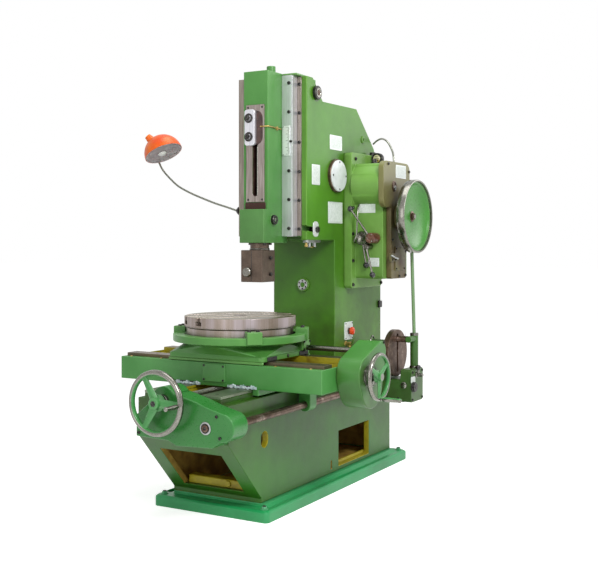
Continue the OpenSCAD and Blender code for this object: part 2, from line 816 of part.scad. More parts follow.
// End cover on the nose: joins the hand wheel, the pinion stud and the spline shaft.
module end_cover() {
  cover_z0 = way_top - cover_drop;
  blind = 14;
  color(green) difference() {
    translate([0, bed_nose_y, 0]) rotate([90, 0, 0]) linear_extrude(height = cover_t) union() {
      polygon([[-cover_left, cover_z0 + 4], [front_wheel_x + 22, cover_z0], [front_wheel_x + 61,
        cover_z0 - 18],
        [stud_x + 31, cover_z0 - 10], [spline_x - 4, spline_z - cover_lobe_r + 1],
        [spline_x + 8, spline_z + cover_lobe_r - 1], [stud_x + 12, front_wheel_z - 10],
        [stud_x - 44, front_wheel_z + 9], [front_wheel_x + wheel_lobe_r - 8, front_wheel_z + 36],
        [front_wheel_x, front_wheel_z + 20], [front_wheel_x - wheel_lobe_r, front_wheel_z],
        [-cover_left, trough_z + 8]]);
      translate([spline_x, spline_z]) circle(r = cover_lobe_r, $fn = 64);
      translate([front_wheel_x, front_wheel_z]) circle(r = wheel_lobe_r, $fn = 64);
    }
    rod_along_y(bed_screw_r + run_gap, front_wheel_x, cover_front_y - 1, bed_nose_y + 1, front_wheel_z);
    rod_along_y(spline_r, spline_x, cover_front_y + blind, bed_nose_y + 1, spline_z);
    rod_along_y(stud_r, stud_x, cover_front_y - 1, cover_front_y + blind, way_top - stud_drop);
  }
}
module spline_shaft() {
  color(steel) rod_along_y(spline_r, spline_x, cover_front_y + 14, feed_y0, spline_z);
}

// Gearbox on the right of the column, with a round gear housing across its top.
module gearbox_case() {
  corner = 18;
  bore = spindle_l + 2;
  color(green) difference() {
    union() {
      side_form(column_half, gear_flange_x) soft_corner(gear_flange_y0, gear_flange_y0 + gear_flange_l,
        gear_flange_z0, gear_flange_z0 + gear_flange_h, corner);
      side_form(gear_flange_x - 1, gear_x1) soft_corner(gear_y0, gear_y0 + gear_l, gear_z0, gear_z1,
        corner);
      rod_x(drum_r, gear_flange_x - 1, gear_x1, drum_y, drum_z, 96);
    }
    for (x = [hub_a_x, hub_b_x]) rod_along_y(hub_r / 2 + run_gap, x, gear_y0 - 1, gear_y0 + bore, hub_z);
    rod_along_y(hub_c_r / 2 + run_gap, hub_c_x, gear_y0 - 1, gear_y0 + bore, hub_c_z);
  }
}
module gearbox_end_plate() {
  corner = 12;
  drum_corner = 42;
  lower_y0 = gear_y0 + 40;
  color(green) difference() {
    side_form(gear_x1, end_plate_x1) union() {
      soft_corner(drum_y - drum_r, drum_y + drum_r + 98, drum_z - drum_r, gear_z1 + 8, drum_corner);
      soft_corner(lower_y0, lower_y0 + end_plate_l - 40, gear_z0, drum_z, corner);
    }
    rod_x(main_hub_r + run_gap, gear_x1 - 1, end_plate_x1 + 1, main_wheel_y, main_wheel_z);
  }
}
module bearing_cover() {
  color([0.9, 0.9, 0.9]) rod_x(bearing_r, column_half, column_half + bearing_t, bearing_y, bearing_z, 96);
}
module oil_sight() {
  ring = 8;
  sight_y1 = gear_y0 + gear_l - 80;
  sight_x = gear_flange_x + 31;
  color(dark) difference() {
    rod_along_y(sight_r, sight_x, sight_y1 - sight_t, sight_y1, gear_z1 + sight_r);
    rod_along_y(sight_r - ring, sight_x, sight_y1 - sight_t - 1, sight_y1 - sight_t / 2, gear_z1 + sight_r);
  }
}

// Feed drive: box low on the right, slotted crank disc, rod and sleeve.
module feed_box() {
  corner = 14;
  boss_r = 60;
  pin_r = 26;
  gap_z = crank_z - crank_r - 12;
  color(green) union() {
    side_form(bed_half, feed_in_x) soft_corner(feed_y0, feed_y1, feed_z0, feed_z1, corner);
    side_form(feed_in_x - 1, feed_in_x + feed_gap) soft_corner(feed_y0, feed_y1, feed_z0, gap_z, corner);
    side_form(feed_in_x + feed_gap - 1, feed_x1) soft_corner(feed_y0, feed_y1, feed_z0, feed_z1, corner);
    rod_x(boss_r, bed_half, feed_in_x, crank_y + boss_r / 2, crank_z, 64);
    box(bed_half, feed_in_x, crank_y - boss_r / 2, crank_y + boss_r, feed_z1 - corner, crank_z);
    rod_x(pin_r, feed_in_x - 1, crank_x0, crank_y, crank_z);
  }
}
module crank_disc() {
  color(steel) difference() {
    rod_x(crank_r, crank_x0, crank_x0 + crank_t, crank_y, crank_z, 96);
    box(crank_x0 + crank_t - crank_slot_d, crank_x0 + crank_t + 1, crank_y - crank_slot_w / 2,
      crank_y + crank_slot_w / 2, crank_z - crank_r * 0.82, crank_z + crank_r * 0.82);
  }
}
module feed_rod() {
  pin_z = crank_z + crank_r * 0.6;
  strap_x0 = end_plate_x1 + 30;
  strap_t = 16;
  top_z = main_wheel_z - 30;
  lean = atan2(rod_x - strap_x0 - strap_t / 2, top_z - sleeve_z1);
  color(green) union() {
    difference() {
      rod_x(strap_r, strap_x0, strap_x0 + strap_t, main_wheel_y, main_wheel_z, 64);
      rod_x(main_hub_r + strap_play, strap_x0 - 1, strap_x0 + strap_t + 1, main_wheel_y, main_wheel_z, 64);
    }
    translate([rod_x, rod_y, sleeve_z1 - 10]) rotate([0, -lean, 0])
      cylinder(h = top_z - sleeve_z1 + 10, r = rod_r, $fn = 32);
    rod_z(sleeve_r, rod_x, rod_y, feed_z1, sleeve_z1);
    rod_x(crank_pin_r, crank_x0 + crank_t, rod_x, crank_y, pin_z);
    rod_along_y(crank_pin_r, rod_x, crank_y - crank_pin_r, rod_y, pin_z);
  }
}
module stop_button() {
  plate_t = 6;
  plate_y0 = column_front_y + 102;
  plate_z0 = way_top + 131;
  stem = 28;
  color([0.9, 0.9, 0.88]) box(column_half, column_half + plate_t, plate_y0, plate_y0 + button_plate_w,
    plate_z0, plate_z0 + button_plate_w + 4);
  color([0.8, 0.1, 0.05]) rod_x(button_r, column_half + plate_t, column_half + plate_t + stem,
    plate_y0 + button_plate_w / 2, plate_z0 + button_plate_w / 2);
}

// Guide between the arm cheeks: seat for the ram flange, held by the gib plates.
module guide_head() {
  color(green) difference() {
    box(-guide_half, guide_half, guide_front_y, guide_rear_y, guide_z0, guide_z1);
    box(-ram_flange_half - slide_gap, ram_flange_half + slide_gap, guide_front_y - 1,
      ram_flange_y + slide_gap,
      guide_z0 - 1, guide_z1 + 1);
    rod_x(pivot_r, -column_half, column_half, pivot_y, pivot_z);
    rod_x(clamp_r, -column_half, column_half, clamp_y, clamp_z);
  }
}
module gib_plates() {
  color(steel) {
    box(gib_in, gib_out, gib_front_y, guide_front_y, guide_z0, guide_z1);
    union() {
      box(-gib_out, -gib_in, gib_front_y, guide_front_y, guide_z0, guide_z1);
      box(-gib_out - ledge_w, -gib_out + 1, gib_front_y, gib_front_y + ledge_t, guide_z0, guide_z1);
    }
  }
}
module guide_caps() {
  clear_x = ram_flange_half + 6;
  color(brown) for (s = [0, 1]) mirror([s, 0, 0]) union() {
    box(gib_in + 5, guide_half, gib_front_y, guide_front_y - 5, guide_z1, guide_z1 + cap_t);
    box(clear_x, guide_half, gib_front_y, guide_front_y + 40, guide_z1, guide_z1 + cap_t);
  }
}
module tilt_pivot() {
  color(steel) union() {
    rod_x(pivot_r - run_gap, -column_half - slide_gap - 1, column_half + slide_gap + 1, pivot_y, pivot_z);
    for (s = [0, 1]) mirror([s, 0, 0])
      rod_x(pivot_cap_r, column_half + slide_gap, column_half + slide_gap + pivot_cap_t, pivot_y, pivot_z);
  }
}
module tilt_clamp() {
  head_t = 14;
  color(dark) union() {
    rod_x(clamp_r - run_gap, -column_half - 1, column_half + 1, clamp_y, clamp_z);
    for (s = [0, 1]) mirror([s, 0, 0])
      rod_x(clamp_head_r, column_half + slide_gap, column_half + slide_gap + head_t, clamp_y, clamp_z, 6);
  }
}
module scale_plate() {
  color(steel) box(gib_in + 6, gib_out - 11, gib_front_y - scale_t, gib_front_y,
    guide_z1 - scale_drop - scale_h, guide_z1 - scale_drop);
}

// Lamp: bent tube from the guide's left side, behind a dome shade to its neck.
module lamp_tube() {
  foot_y = gib_front_y + ledge_t / 2;
  back = [-0.498, 0.867, 0];
  bends = [[3.27, 1.02, -2.82], [2.58, 1.01, -2.62], [1.88, 1.01, -2.38], [1.18, 1.01, -2.12],
    [0.61, 0.99, -1.87], [0.14, 0.99, -1.62], [-0.25, 0.98, -1.31], [-0.62, 0.98, -0.98],
    [-0.87, 0.97, -0.69], [-1.05, 0.96, -0.4], [-1.18, 0.84, -0.02], [-1.18, 0.57, 0.38]];
  path = concat([[lamp_foot_x - lamp_foot_l, foot_y, lamp_foot_z]],
    [for (p = bends) shade_at + shade_r * p],
    [shade_at + (shade_r + 9) * holder_way + (holder_r + lamp_tube_r + 2.8) * back]);
  color(steel) union() {
    rod_x(lamp_foot_r, lamp_foot_x - lamp_foot_l, lamp_foot_x, foot_y, lamp_foot_z, 32);
    for (i = [0:len(path) - 2]) hull() for (k = [i, i + 1])
      translate(path[k]) sphere(r = lamp_tube_r, $fn = 12);
  }
}
module holder_turn() {
  rotate([0, acos(holder_way[2]), atan2(holder_way[1], holder_way[0])]) children();
}
module lamp_shade() {
  arc = [for (a = [0:10:80]) a];
  inner_r = shade_r - shade_wall;
  neck_l = 24;
  holder_in = 44;
  color([0.9, 0.35, 0.1]) translate(shade_at) union() {
    rotate(shade_tip) rotate_extrude($fn = 64) polygon(concat([for (a = arc) [shade_r * cos(a),
      shade_r * sin(a)]],
      [[0, shade_r], [0, inner_r]], [for (k = [len(arc) - 1:-1:0]) [inner_r * cos(arc[k]),
        inner_r * sin(arc[k])]]));
    holder_turn() translate([0, 0, shade_r - 2]) cylinder(h = neck_l + 1, r1 = holder_r + 4,
      r2 = holder_r, $fn = 32);
    holder_turn() translate([0, 0, inner_r - holder_in]) cylinder(h = holder_in + 1, r = holder_r,
      $fn = 32);
  }
}

// Adjusting slot of the ram: straight sides and round ends.
module slot_form(y0, y1) {
  low_z = slot_z0 + slot_w / 2;
  high_z = slot_z0 + slot_h - slot_w / 2;
  union() {
    box(-slot_w / 2, slot_w / 2, y0, y1, low_z, high_z);
    for (z = [low_z, high_z]) rod_along_y(slot_w / 2, 0, y0, y1, z, 32);
  }
}

// Ram: box body with a flange held behind the gib plates and a long adjusting slot.
module ram() {
  flange_in = 30;
  color(green) difference() {
    union() {
      box(-ram_half, ram_half, ram_front_y, guide_front_y + slide_gap + 1, ram_z0, ram_z1);
      box(-ram_flange_half, ram_flange_half, guide_front_y + slide_gap, ram_flange_y,
        ram_z0 + flange_in, ram_z1 - ram_over);
      box(-ram_half, ram_half, proud_y, ram_front_y + 1, ram_z0, proud_z1);
      rod_x(lock_r, ram_half - 1, ram_half + lock_l, ram_front_y + 56, ram_z0 + 106, 32);
    }
    slot_form(ram_front_y - 1, ram_front_y + slot_depth);
  }
}
module slot_plate() {
  color(steel) difference() {
    box(-slot_plate_w / 2, slot_plate_w / 2, ram_front_y - slot_plate_t, ram_front_y, slot_plate_z0,
      slot_plate_z1);
    slot_form(ram_front_y - slot_plate_t - 1, ram_front_y + 1);
  }
}
module ram_clamp() {
  y1 = ram_front_y - slot_plate_t;
  corner = 14;
  color(steel) union() {
    translate([-block_shift, y1, block_z]) rotate([90, 0, 0]) linear_extrude(height = block_t)
      soft_rect(block_w, block_h, corner);
    for (s = [-1, 1]) rod_along_y(block_nut_r, -block_shift - 4, y1 - block_t - block_nut_t,
      y1 - block_t + 1,
      block_z + s * block_nut_pitch / 2, 6);
  }
}
module ram_screw() {
  color(green) rod_z(screw_boss_r, screw_boss_x, ram_front_y + screw_boss_back, ram_z1,
    ram_z1 + screw_boss_h);
}
module tool_head() {
  color(brown) difference() {
    union() {
      box(-tool_half, tool_half, tool_front_y, tool_front_y + tool_depth, tool_z0, tool_z1);
      rod_z(neck_r, 0, tool_y + 14, tool_z1 - 1, ram_z0);
      rod_along_y(tool_screw_r, -tool_half / 2, tool_front_y - tool_screw_l, tool_front_y + 1,
        tool_z0 + tool_h * 0.29, 32);
    }
    rod_z(tool_bore_r, 0, tool_y, tool_z0 - 1, tool_z0 + tool_bore_h);
  }
}

// Saddle on the bed ways, with its own pair of cross ways on top.
module saddle() {
  way0 = saddle_y0 + saddle_rim_w;
  way1 = saddle_y1 - saddle_rim_w;
  trough0 = saddle_z0 + saddle_floor;
  skirt_x = bed_half - 5;
  bracket_y = drive_y;
  bracket_l = 60;
  color(green) difference() {
    union() {
      box(saddle_x0, saddle_x1, saddle_y0, saddle_y1, saddle_z0, saddle_rim_z);
      for (s = [0, 1]) mirror([s, 0, 0])
        box(way_out + slide_gap, skirt_x, saddle_y0, saddle_y1, shelf_z + 6, saddle_z0 + 1);
      box(front_wheel_x - nut_half, front_wheel_x + nut_half, table_y - nut_l / 2, table_y + nut_l / 2,
        front_wheel_z - nut_half, saddle_z0 + 1);
      translate([0, bracket_y + bracket_l / 2, 0]) rotate([90, 0,
        0]) linear_extrude(height = bracket_l) union() {
        translate([spline_x, spline_z]) circle(r = spline_r + nut_wall + 2, $fn = 48);
        translate([spline_x - spline_r - nut_wall - 2, spline_z])
          square([2 * (spline_r + nut_wall + 2), saddle_z0 + 1 - spline_z]);
      }
    }
    box(saddle_x0 + saddle_end_t / 4, saddle_x1 - saddle_end_t / 4, way0, way1,
      cross_way_z - cross_way_t, saddle_rim_z + 1);
    box(saddle_x0 + saddle_end_t, saddle_x1 - saddle_end_t, way0 + cross_way_w, way1 - cross_way_w,
      trough0, saddle_rim_z + 1);
    rod_along_y(bed_screw_r + run_gap, front_wheel_x, table_y - nut_l / 2 - 1, table_y + nut_l / 2 + 1,
      front_wheel_z);
    rod_along_y(spline_r + run_gap, spline_x, bracket_y - bracket_l / 2 - 1,
      bracket_y + bracket_l / 2 + 1, spline_z);
    rod_x(cross_screw_r + run_gap, saddle_x0 + saddle_end_t / 3, saddle_x1 + 1, table_y, cross_screw_z);
  }
}
module saddle_ways() {
  color(brown) for (y = [saddle_y0 + saddle_rim_w, saddle_y1 - saddle_rim_w - cross_way_w])
    box(saddle_x0 + saddle_end_t / 4, saddle_x1 - saddle_end_t / 4, y, y + cross_way_w,
      cross_way_z - cross_way_t, cross_way_z);
}
module saddle_housing() {
  round_y = table_y + 40;
  screw_round = housing_r * 0.84;
  shaft_round = housing_r * 0.48;
  socket = 40;
  color(green) difference() {
    side_form(saddle_x1, dial_x0) hull() {
      translate([round_y, saddle_z0 + 20]) circle(r = housing_r, $fn = 64);
      translate([table_y, cross_screw_z]) circle(r = screw_round, $fn = 64);
      translate([drive_y - 10, drive_z]) circle(r = shaft_round, $fn = 64);
    }
    rod_x(cross_screw_r + run_gap, saddle_x1 - 1, dial_x0 + 1, table_y, cross_screw_z);
    rod_x(drive_r, saddle_x1 - 1, saddle_x1 + socket, drive_y, drive_z);
  }
}
module dial_collar() {
  color(steel) difference() {
    rod_x(dial_r, dial_x0, dial_x0 + dial_l, table_y, cross_screw_z, 64);
    rod_x(cross_screw_r + run_gap, dial_x0 - 1, dial_x0 + dial_l + 1, table_y, cross_screw_z);
  }
}
module drive_shaft() {
  socket = 40;
  color(steel) rod_x(drive_r, worm_x1 - cross_half - worm_half * 6, saddle_x1 + socket, drive_y, drive_z);
}

// Cross slide: rectangular below, round above, with a worm box at the rear right.
module cross_slide() {
  foot_z1 = cross_z0 + cross_base_h;
  waist_z = ring_z0 - cross_h * 0.18;
  nut_len = 2 * (cross_screw_r + nut_wall) + 40;
  color(green) difference() {
    union() {
      translate([0, table_y, cross_z0]) linear_extrude(height = cross_base_h)
        soft_rect(2 * cross_half, saddle_w, 24);
      hull() {
        translate([0, table_y, foot_z1 - 2]) linear_extrude(height = 1)
          soft_rect(2 * cross_half - 3, saddle_w - 3, 24);
        translate([0, table_y, foot_z1 + 6]) linear_extrude(height = 1)
          soft_rect(2 * cross_half - 16, saddle_w - 8, 60);
        rod_z(waist_r - 2, 0, table_y, waist_z, waist_z + 1, 64);
      }
      translate([0, table_y, waist_z]) cylinder(h = ring_z0 - waist_z, r1 = waist_r, r2 = ring_r - 14,
        $fn = 96);
      box(-nut_len / 2, nut_len / 2, table_y - cross_screw_r - nut_wall, table_y + cross_screw_r + nut_wall,
        cross_screw_z - cross_screw_r - 9, cross_z0 + 1);
    }
    rod_x(drive_r + slide_gap, -ring_r - 30, ring_r + 30, drive_y, drive_z);
    rod_x(cross_screw_r + run_gap, -nut_len / 2 - 1, nut_len / 2 + 1, table_y, cross_screw_z);
    worm_form();
  }
}
module worm_form() {
  box(worm_x1 - worm_l, worm_x1, drive_y - worm_half, drive_y + worm_half,
    cross_z0 + cross_base_h, ring_z0);
}
module worm_box() {
  color(green) difference() {
    worm_form();
    rod_x(drive_r + slide_gap, worm_x1 - worm_l - 1, worm_x1 + 1, drive_y, drive_z);
  }
}
module table_ring() {
  lug_in = ring_r - table_r - 2;
  color(green) union() {
    difference() {
      rod_z(ring_r, 0, table_y, ring_z0, ring_z1, 96);
      rod_z(table_base_r + 8, 0, table_y, ring_z1 - ring_dish, ring_z1 + 1, 96);
    }
    for (a = lug_angles) translate([0, table_y, 0]) rotate([0, 0, a])
      box(ring_r - lug_in, ring_r + 8, -lug_w / 2, lug_w / 2, ring_z0 + 4, ring_z1 + lug_h);
  }
}

// Round table with three T slots and a centre bore.
module round_table() {
  rim_z0 = table_top - table_rim_t;
  groove = 4;
  slot_z1 = table_top - tslot_lip;
  color(steel) translate([0, table_y, 0]) difference() {
    union() {
      rod_z(table_r, 0, 0, rim_z0, table_top, 128);
      rod_z(table_base_r - groove, 0, 0, rim_z0 - groove, rim_z0 + 1, 96);
      rod_z(table_base_r, 0, 0, table_z0, rim_z0 - groove, 96);
    }
    rotate([0, 0, table_turn]) for (k = [-1:1]) {
      y = k * tslot_pitch;
      box(-table_r - 1, table_r + 1, y - tslot_w / 2, y + tslot_w / 2, slot_z1 - 1, table_top + 1);
      box(-table_r - 1, table_r + 1, y - tslot_wide / 2, y + tslot_wide / 2, slot_z1 - tslot_deep, slot_z1);
    }
    rod_z(table_bore_r, 0, 0, table_top - table_bore_h, table_top + 1, 64);
  }
}

// Hand wheels: turned rim, three spokes, hub and a side handle.
module spoked_wheel(r, rim, hub, bore) {
  spoke_w = rim * 1.6;
  spoke_t = rim * 0.9;
  union() {
    rotate_extrude($fn = 96) translate([r - rim, 0]) circle(r = rim, $fn = 24);
    difference() {
      cylinder(h = 3 * rim, r = hub, center = true, $fn = 48);
      cylinder(h = 4 * rim, r = bore, center = true, $fn = 48);
    }
    for (a = [0, 120, 240]) rotate([0, 0, a]) translate([hub - 3, -spoke_w / 2, -spoke_t / 2])
      cube([r - rim * 1.5 - hub + 3, spoke_w, spoke_t]);
    translate([r - rim, 0, 0]) cylinder(h = handle_l, r = handle_r, $fn = 32);
  }
}
module front_wheel() {
  color(steel) translate([front_wheel_x, front_wheel_y, front_wheel_z]) rotate([90, 0, 0])
    spoked_wheel(front_wheel_r, front_rim_r, front_hub_r, bed_screw_r);
}
module bed_screw() {
  color(steel) rod_along_y(bed_screw_r, front_wheel_x, front_wheel_y - 1.5 * front_rim_r,
    column_front_y - 60, front_wheel_z);
}
module cross_wheel() {
  color(steel) translate([cross_wheel_x, table_y, cross_screw_z]) rotate([0, 90, 0])
    spoked_wheel(cross_wheel_r, cross_rim_r, cross_hub_r, cross_screw_r);
}
module cross_screw() {
  color(steel) rod_x(cross_screw_r, saddle_x0 + saddle_end_t / 3 + 2, cross_wheel_x + 1.5 * cross_rim_r,
    table_y, cross_screw_z);
}
module main_wheel() {
  rim_x0 = main_wheel_x - main_rim_w;
  hub_x0 = gear_x1 + 2;
  boss_r = 60;
  bowl_r = main_wheel_r - 20;
  bowl_l = 26;
  color(steel) translate([0, main_wheel_y, main_wheel_z]) rotate([0, 90, 0]) union() {
    rotate_extrude($fn = 128) polygon(concat([[0, rim_x0 - 6], [boss_r, rim_x0 - 6],
      [main_wheel_r - 20, rim_x0 + 8], [main_wheel_r - 6, rim_x0], [main_wheel_r, rim_x0 + 6],
      [main_wheel_r, main_wheel_x - 6], [main_wheel_r - 6, main_wheel_x],
      [main_wheel_r - 14, main_wheel_x]],
      [for (a = [0:15:75]) [main_hub_r + (bowl_r - main_hub_r) * cos(a), rim_x0 + 30 - bowl_l * sin(a)]],
      [[main_hub_r, rim_x0 + 30 - bowl_l], [0, rim_x0 + 30 - bowl_l]]));
    translate([0, 0, hub_x0]) cylinder(h = rim_x0 - hub_x0 + 2, r = main_hub_r, $fn = 64);
    translate([0, 0, rim_x0 + 3]) cylinder(h = 18, r = main_hub_r / 2, $fn = 6);
  }
}

// Gearbox levers: hub on the box front, rod and ball.
module lever(x, z, r, angle, len, out) {
  translate([x, gear_y0, z]) rotate([90, 0, 0]) union() {
    translate([0, 0, 1]) cylinder(h = out - 1, r = r, $fn = 48);
    translate([0, 0, -spindle_l]) cylinder(h = spindle_l + 6, r = r / 2, $fn = 48);
    rotate([0, 0, angle]) translate([0, 0, out - lever_r - 2]) rotate([0, 90, 0]) union() {
      cylinder(h = len, r = lever_r, $fn = 24);
      translate([0, 0, len]) sphere(r = ball_r, $fn = 24);
    }
  }
}
module long_lever() { color(dark) lever(hub_b_x, hub_z, hub_r, long_angle, long_lever_l, long_out); }
module short_lever() { color(steel) lever(hub_a_x, hub_z, hub_r, short_angle, short_lever_l, short_out); }
module middle_lever() { color(steel) lever(hub_c_x, hub_c_z, hub_c_r, middle_angle, middle_lever_l,
  middle_out); }

base_plinth();
bed();
bed_ways();
column();
rear_cover();
end_cover();
spline_shaft();
gearbox_case();
gearbox_end_plate();
bearing_cover();
oil_sight();
feed_box();
crank_disc();
feed_rod();
stop_button();
guide_head();
gib_plates();
guide_caps();
tilt_pivot();
tilt_clamp();
scale_plate();
lamp_tube();
lamp_shade();
ram();
slot_plate();
ram_clamp();
ram_screw();
tool_head();
saddle();
saddle_ways();
saddle_housing();
dial_collar();
drive_shaft();
cross_slide();
worm_box();
table_ring();
round_table();
front_wheel();
bed_screw();
cross_wheel();
cross_screw();
main_wheel();
long_lever();
short_lever();
middle_lever();
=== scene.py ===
# Looks of a green keyway slotting machine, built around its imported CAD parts.
import math

import bmesh
import bpy
from mathutils import Matrix, Vector


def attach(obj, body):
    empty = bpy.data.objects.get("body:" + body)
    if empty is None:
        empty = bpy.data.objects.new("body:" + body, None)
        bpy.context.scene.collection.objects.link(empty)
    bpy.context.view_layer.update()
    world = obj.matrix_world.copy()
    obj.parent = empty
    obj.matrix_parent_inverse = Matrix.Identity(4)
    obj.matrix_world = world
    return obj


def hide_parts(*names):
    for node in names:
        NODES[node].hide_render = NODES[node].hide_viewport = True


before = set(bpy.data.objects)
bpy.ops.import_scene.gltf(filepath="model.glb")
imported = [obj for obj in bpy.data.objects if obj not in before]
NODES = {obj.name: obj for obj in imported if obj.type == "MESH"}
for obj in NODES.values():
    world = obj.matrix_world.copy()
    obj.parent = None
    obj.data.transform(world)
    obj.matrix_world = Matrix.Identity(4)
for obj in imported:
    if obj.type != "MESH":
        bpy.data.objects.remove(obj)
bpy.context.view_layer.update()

# Camera.
# The photograph is taken level, at chest height, from the front right,
# with the picture shifted down so that uprights stay upright.
camera = bpy.data.objects.new("camera", bpy.data.cameras.new("camera"))
bpy.context.scene.collection.objects.link(camera)
camera.location = (2.4366, -4.175, 1.166)
camera.rotation_euler = (math.radians(90), 0, math.radians(29.9))
camera.data.lens = 59.15
camera.data.sensor_width = 36
camera.data.shift_y = -0.0727
camera.data.clip_end = 100
bpy.context.scene.camera = camera


# Studio.
# A white paper floor under a white sky, lit softly from the upper right,
# where the photograph has its brightest faces.
def linear(hex_colour):
    """sRGB hex to linear RGBA."""
    parts = [int(hex_colour[i:i + 2], 16) / 255 for i in (1, 3, 5)]
    return [c / 12.92 if c <= 0.04045 else ((c + 0.055) / 1.055) ** 2.4 for c in parts] + [1]


def node(tree, kind, settings=None, links=None):
    """Adds one shader node, sets its values and links its inputs."""
    made = tree.nodes.new(kind)
    for key, value in (settings or {}).items():
        if key == "ramp":
            stops = made.color_ramp.elements
            while len(stops) < len(value):
                stops.new(0.5)
            for stop, (at, colour) in zip(stops, value):
                stop.position, stop.color = at, colour
        elif isinstance(key, str) and hasattr(made, key):
            setattr(made, key, value)
        else:
            made.inputs[key].default_value = value
    for key, source in (links or {}).items():
        tree.links.new(source, made.inputs[key])
    return made


def material(name):
    """A new material with its tree emptied."""
    made = bpy.data.materials.new(name)
    made.use_nodes = True
    made.node_tree.nodes.clear()
    return made, made.node_tree


backdrop_paper, tree = material("backdrop_paper")
path = node(tree, "ShaderNodeLightPath")
seen = node(tree, "ShaderNodeMath", {"operation": "MAXIMUM"},
            {0: path.outputs["Is Camera Ray"], 1: path.outputs["Is Glossy Ray"]})
lift = node(tree, "ShaderNodeMath", {"operation": "MULTIPLY", 1: 0.68}, {0: seen.outputs[0]})
paper = node(tree, "ShaderNodeBsdfDiffuse", {"Color": linear("#f6f6f6")})
white = node(tree, "ShaderNodeEmission", {"Color": (1, 1, 1, 1)}, {"Strength": lift.outputs[0]})
both = node(tree, "ShaderNodeAddShader", links={0: paper.outputs[0], 1: white.outputs[0]})
node(tree, "ShaderNodeOutputMaterial", links={"Surface": both.outputs[0]})

backdrop_mesh = bpy.data.meshes.new("backdrop")
backdrop_mesh.from_pydata([(-40, -40, 0), (40, -40, 0), (40, 40, 0), (-40, 40, 0)], [], [(0, 1, 2, 3)])
backdrop = bpy.data.objects.new("studio_floor", backdrop_mesh)
bpy.context.scene.collection.objects.link(backdrop)
backdrop.data.materials.append(backdrop_paper)

world = bpy.data.worlds.new("studio_air")
bpy.context.scene.world = world
world.use_nodes = True
tree = world.node_tree
tree.nodes.clear()
path = node(tree, "ShaderNodeLightPath")
seen = node(tree, "ShaderNodeMath", {"operation": "MAXIMUM"},
            {0: path.outputs["Is Camera Ray"], 1: path.outputs["Is Glossy Ray"]})
seen = node(tree, "ShaderNodeMath", {"operation": "MAXIMUM"},
            {0: seen.outputs[0], 1: path.outputs["Is Transmission Ray"]})
plain = node(tree, "ShaderNodeBackground", {"Color": (1, 1, 1, 1), "Strength": 0.36})
white = node(tree, "ShaderNodeBackground", {"Color": (1, 1, 1, 1), "Strength": 1.0})
both = node(tree, "ShaderNodeMixShader", links={0: seen.outputs[0], 1: plain.outputs[0], 2: white.outputs[0]})
node(tree, "ShaderNodeOutputWorld", links={"Surface": both.outputs[0]})

for name, place, aim, size, watts in (
        ("key_light", (2.7, -1.7, 3.1), (0.1, 0, 1.5), 1.1, 84),
        ("fill_light", (0.2, -4.4, 1.9), (0, -0.3, 0.9), 2.4, 30),
        ("rear_light", (2.9, 4.2, 2.4), (0.2, 0.3, 1.5), 1.6, 26),
        ("top_light", (0.2, 0.0, 4.4), (0, 0, 0), 2.2, 46)):
    lamp = bpy.data.lights.new(name, "AREA")
    lamp.shape, lamp.size, lamp.energy = "SQUARE", size, watts
    soft_box = bpy.data.objects.new(name, lamp)
    bpy.context.scene.collection.objects.link(soft_box)
    soft_box.location = place
    soft_box.rotation_euler = (Vector(aim) - Vector(place)).to_track_quat("-Z", "Y").to_euler()
bpy.context.scene.view_settings.view_transform = "Standard"


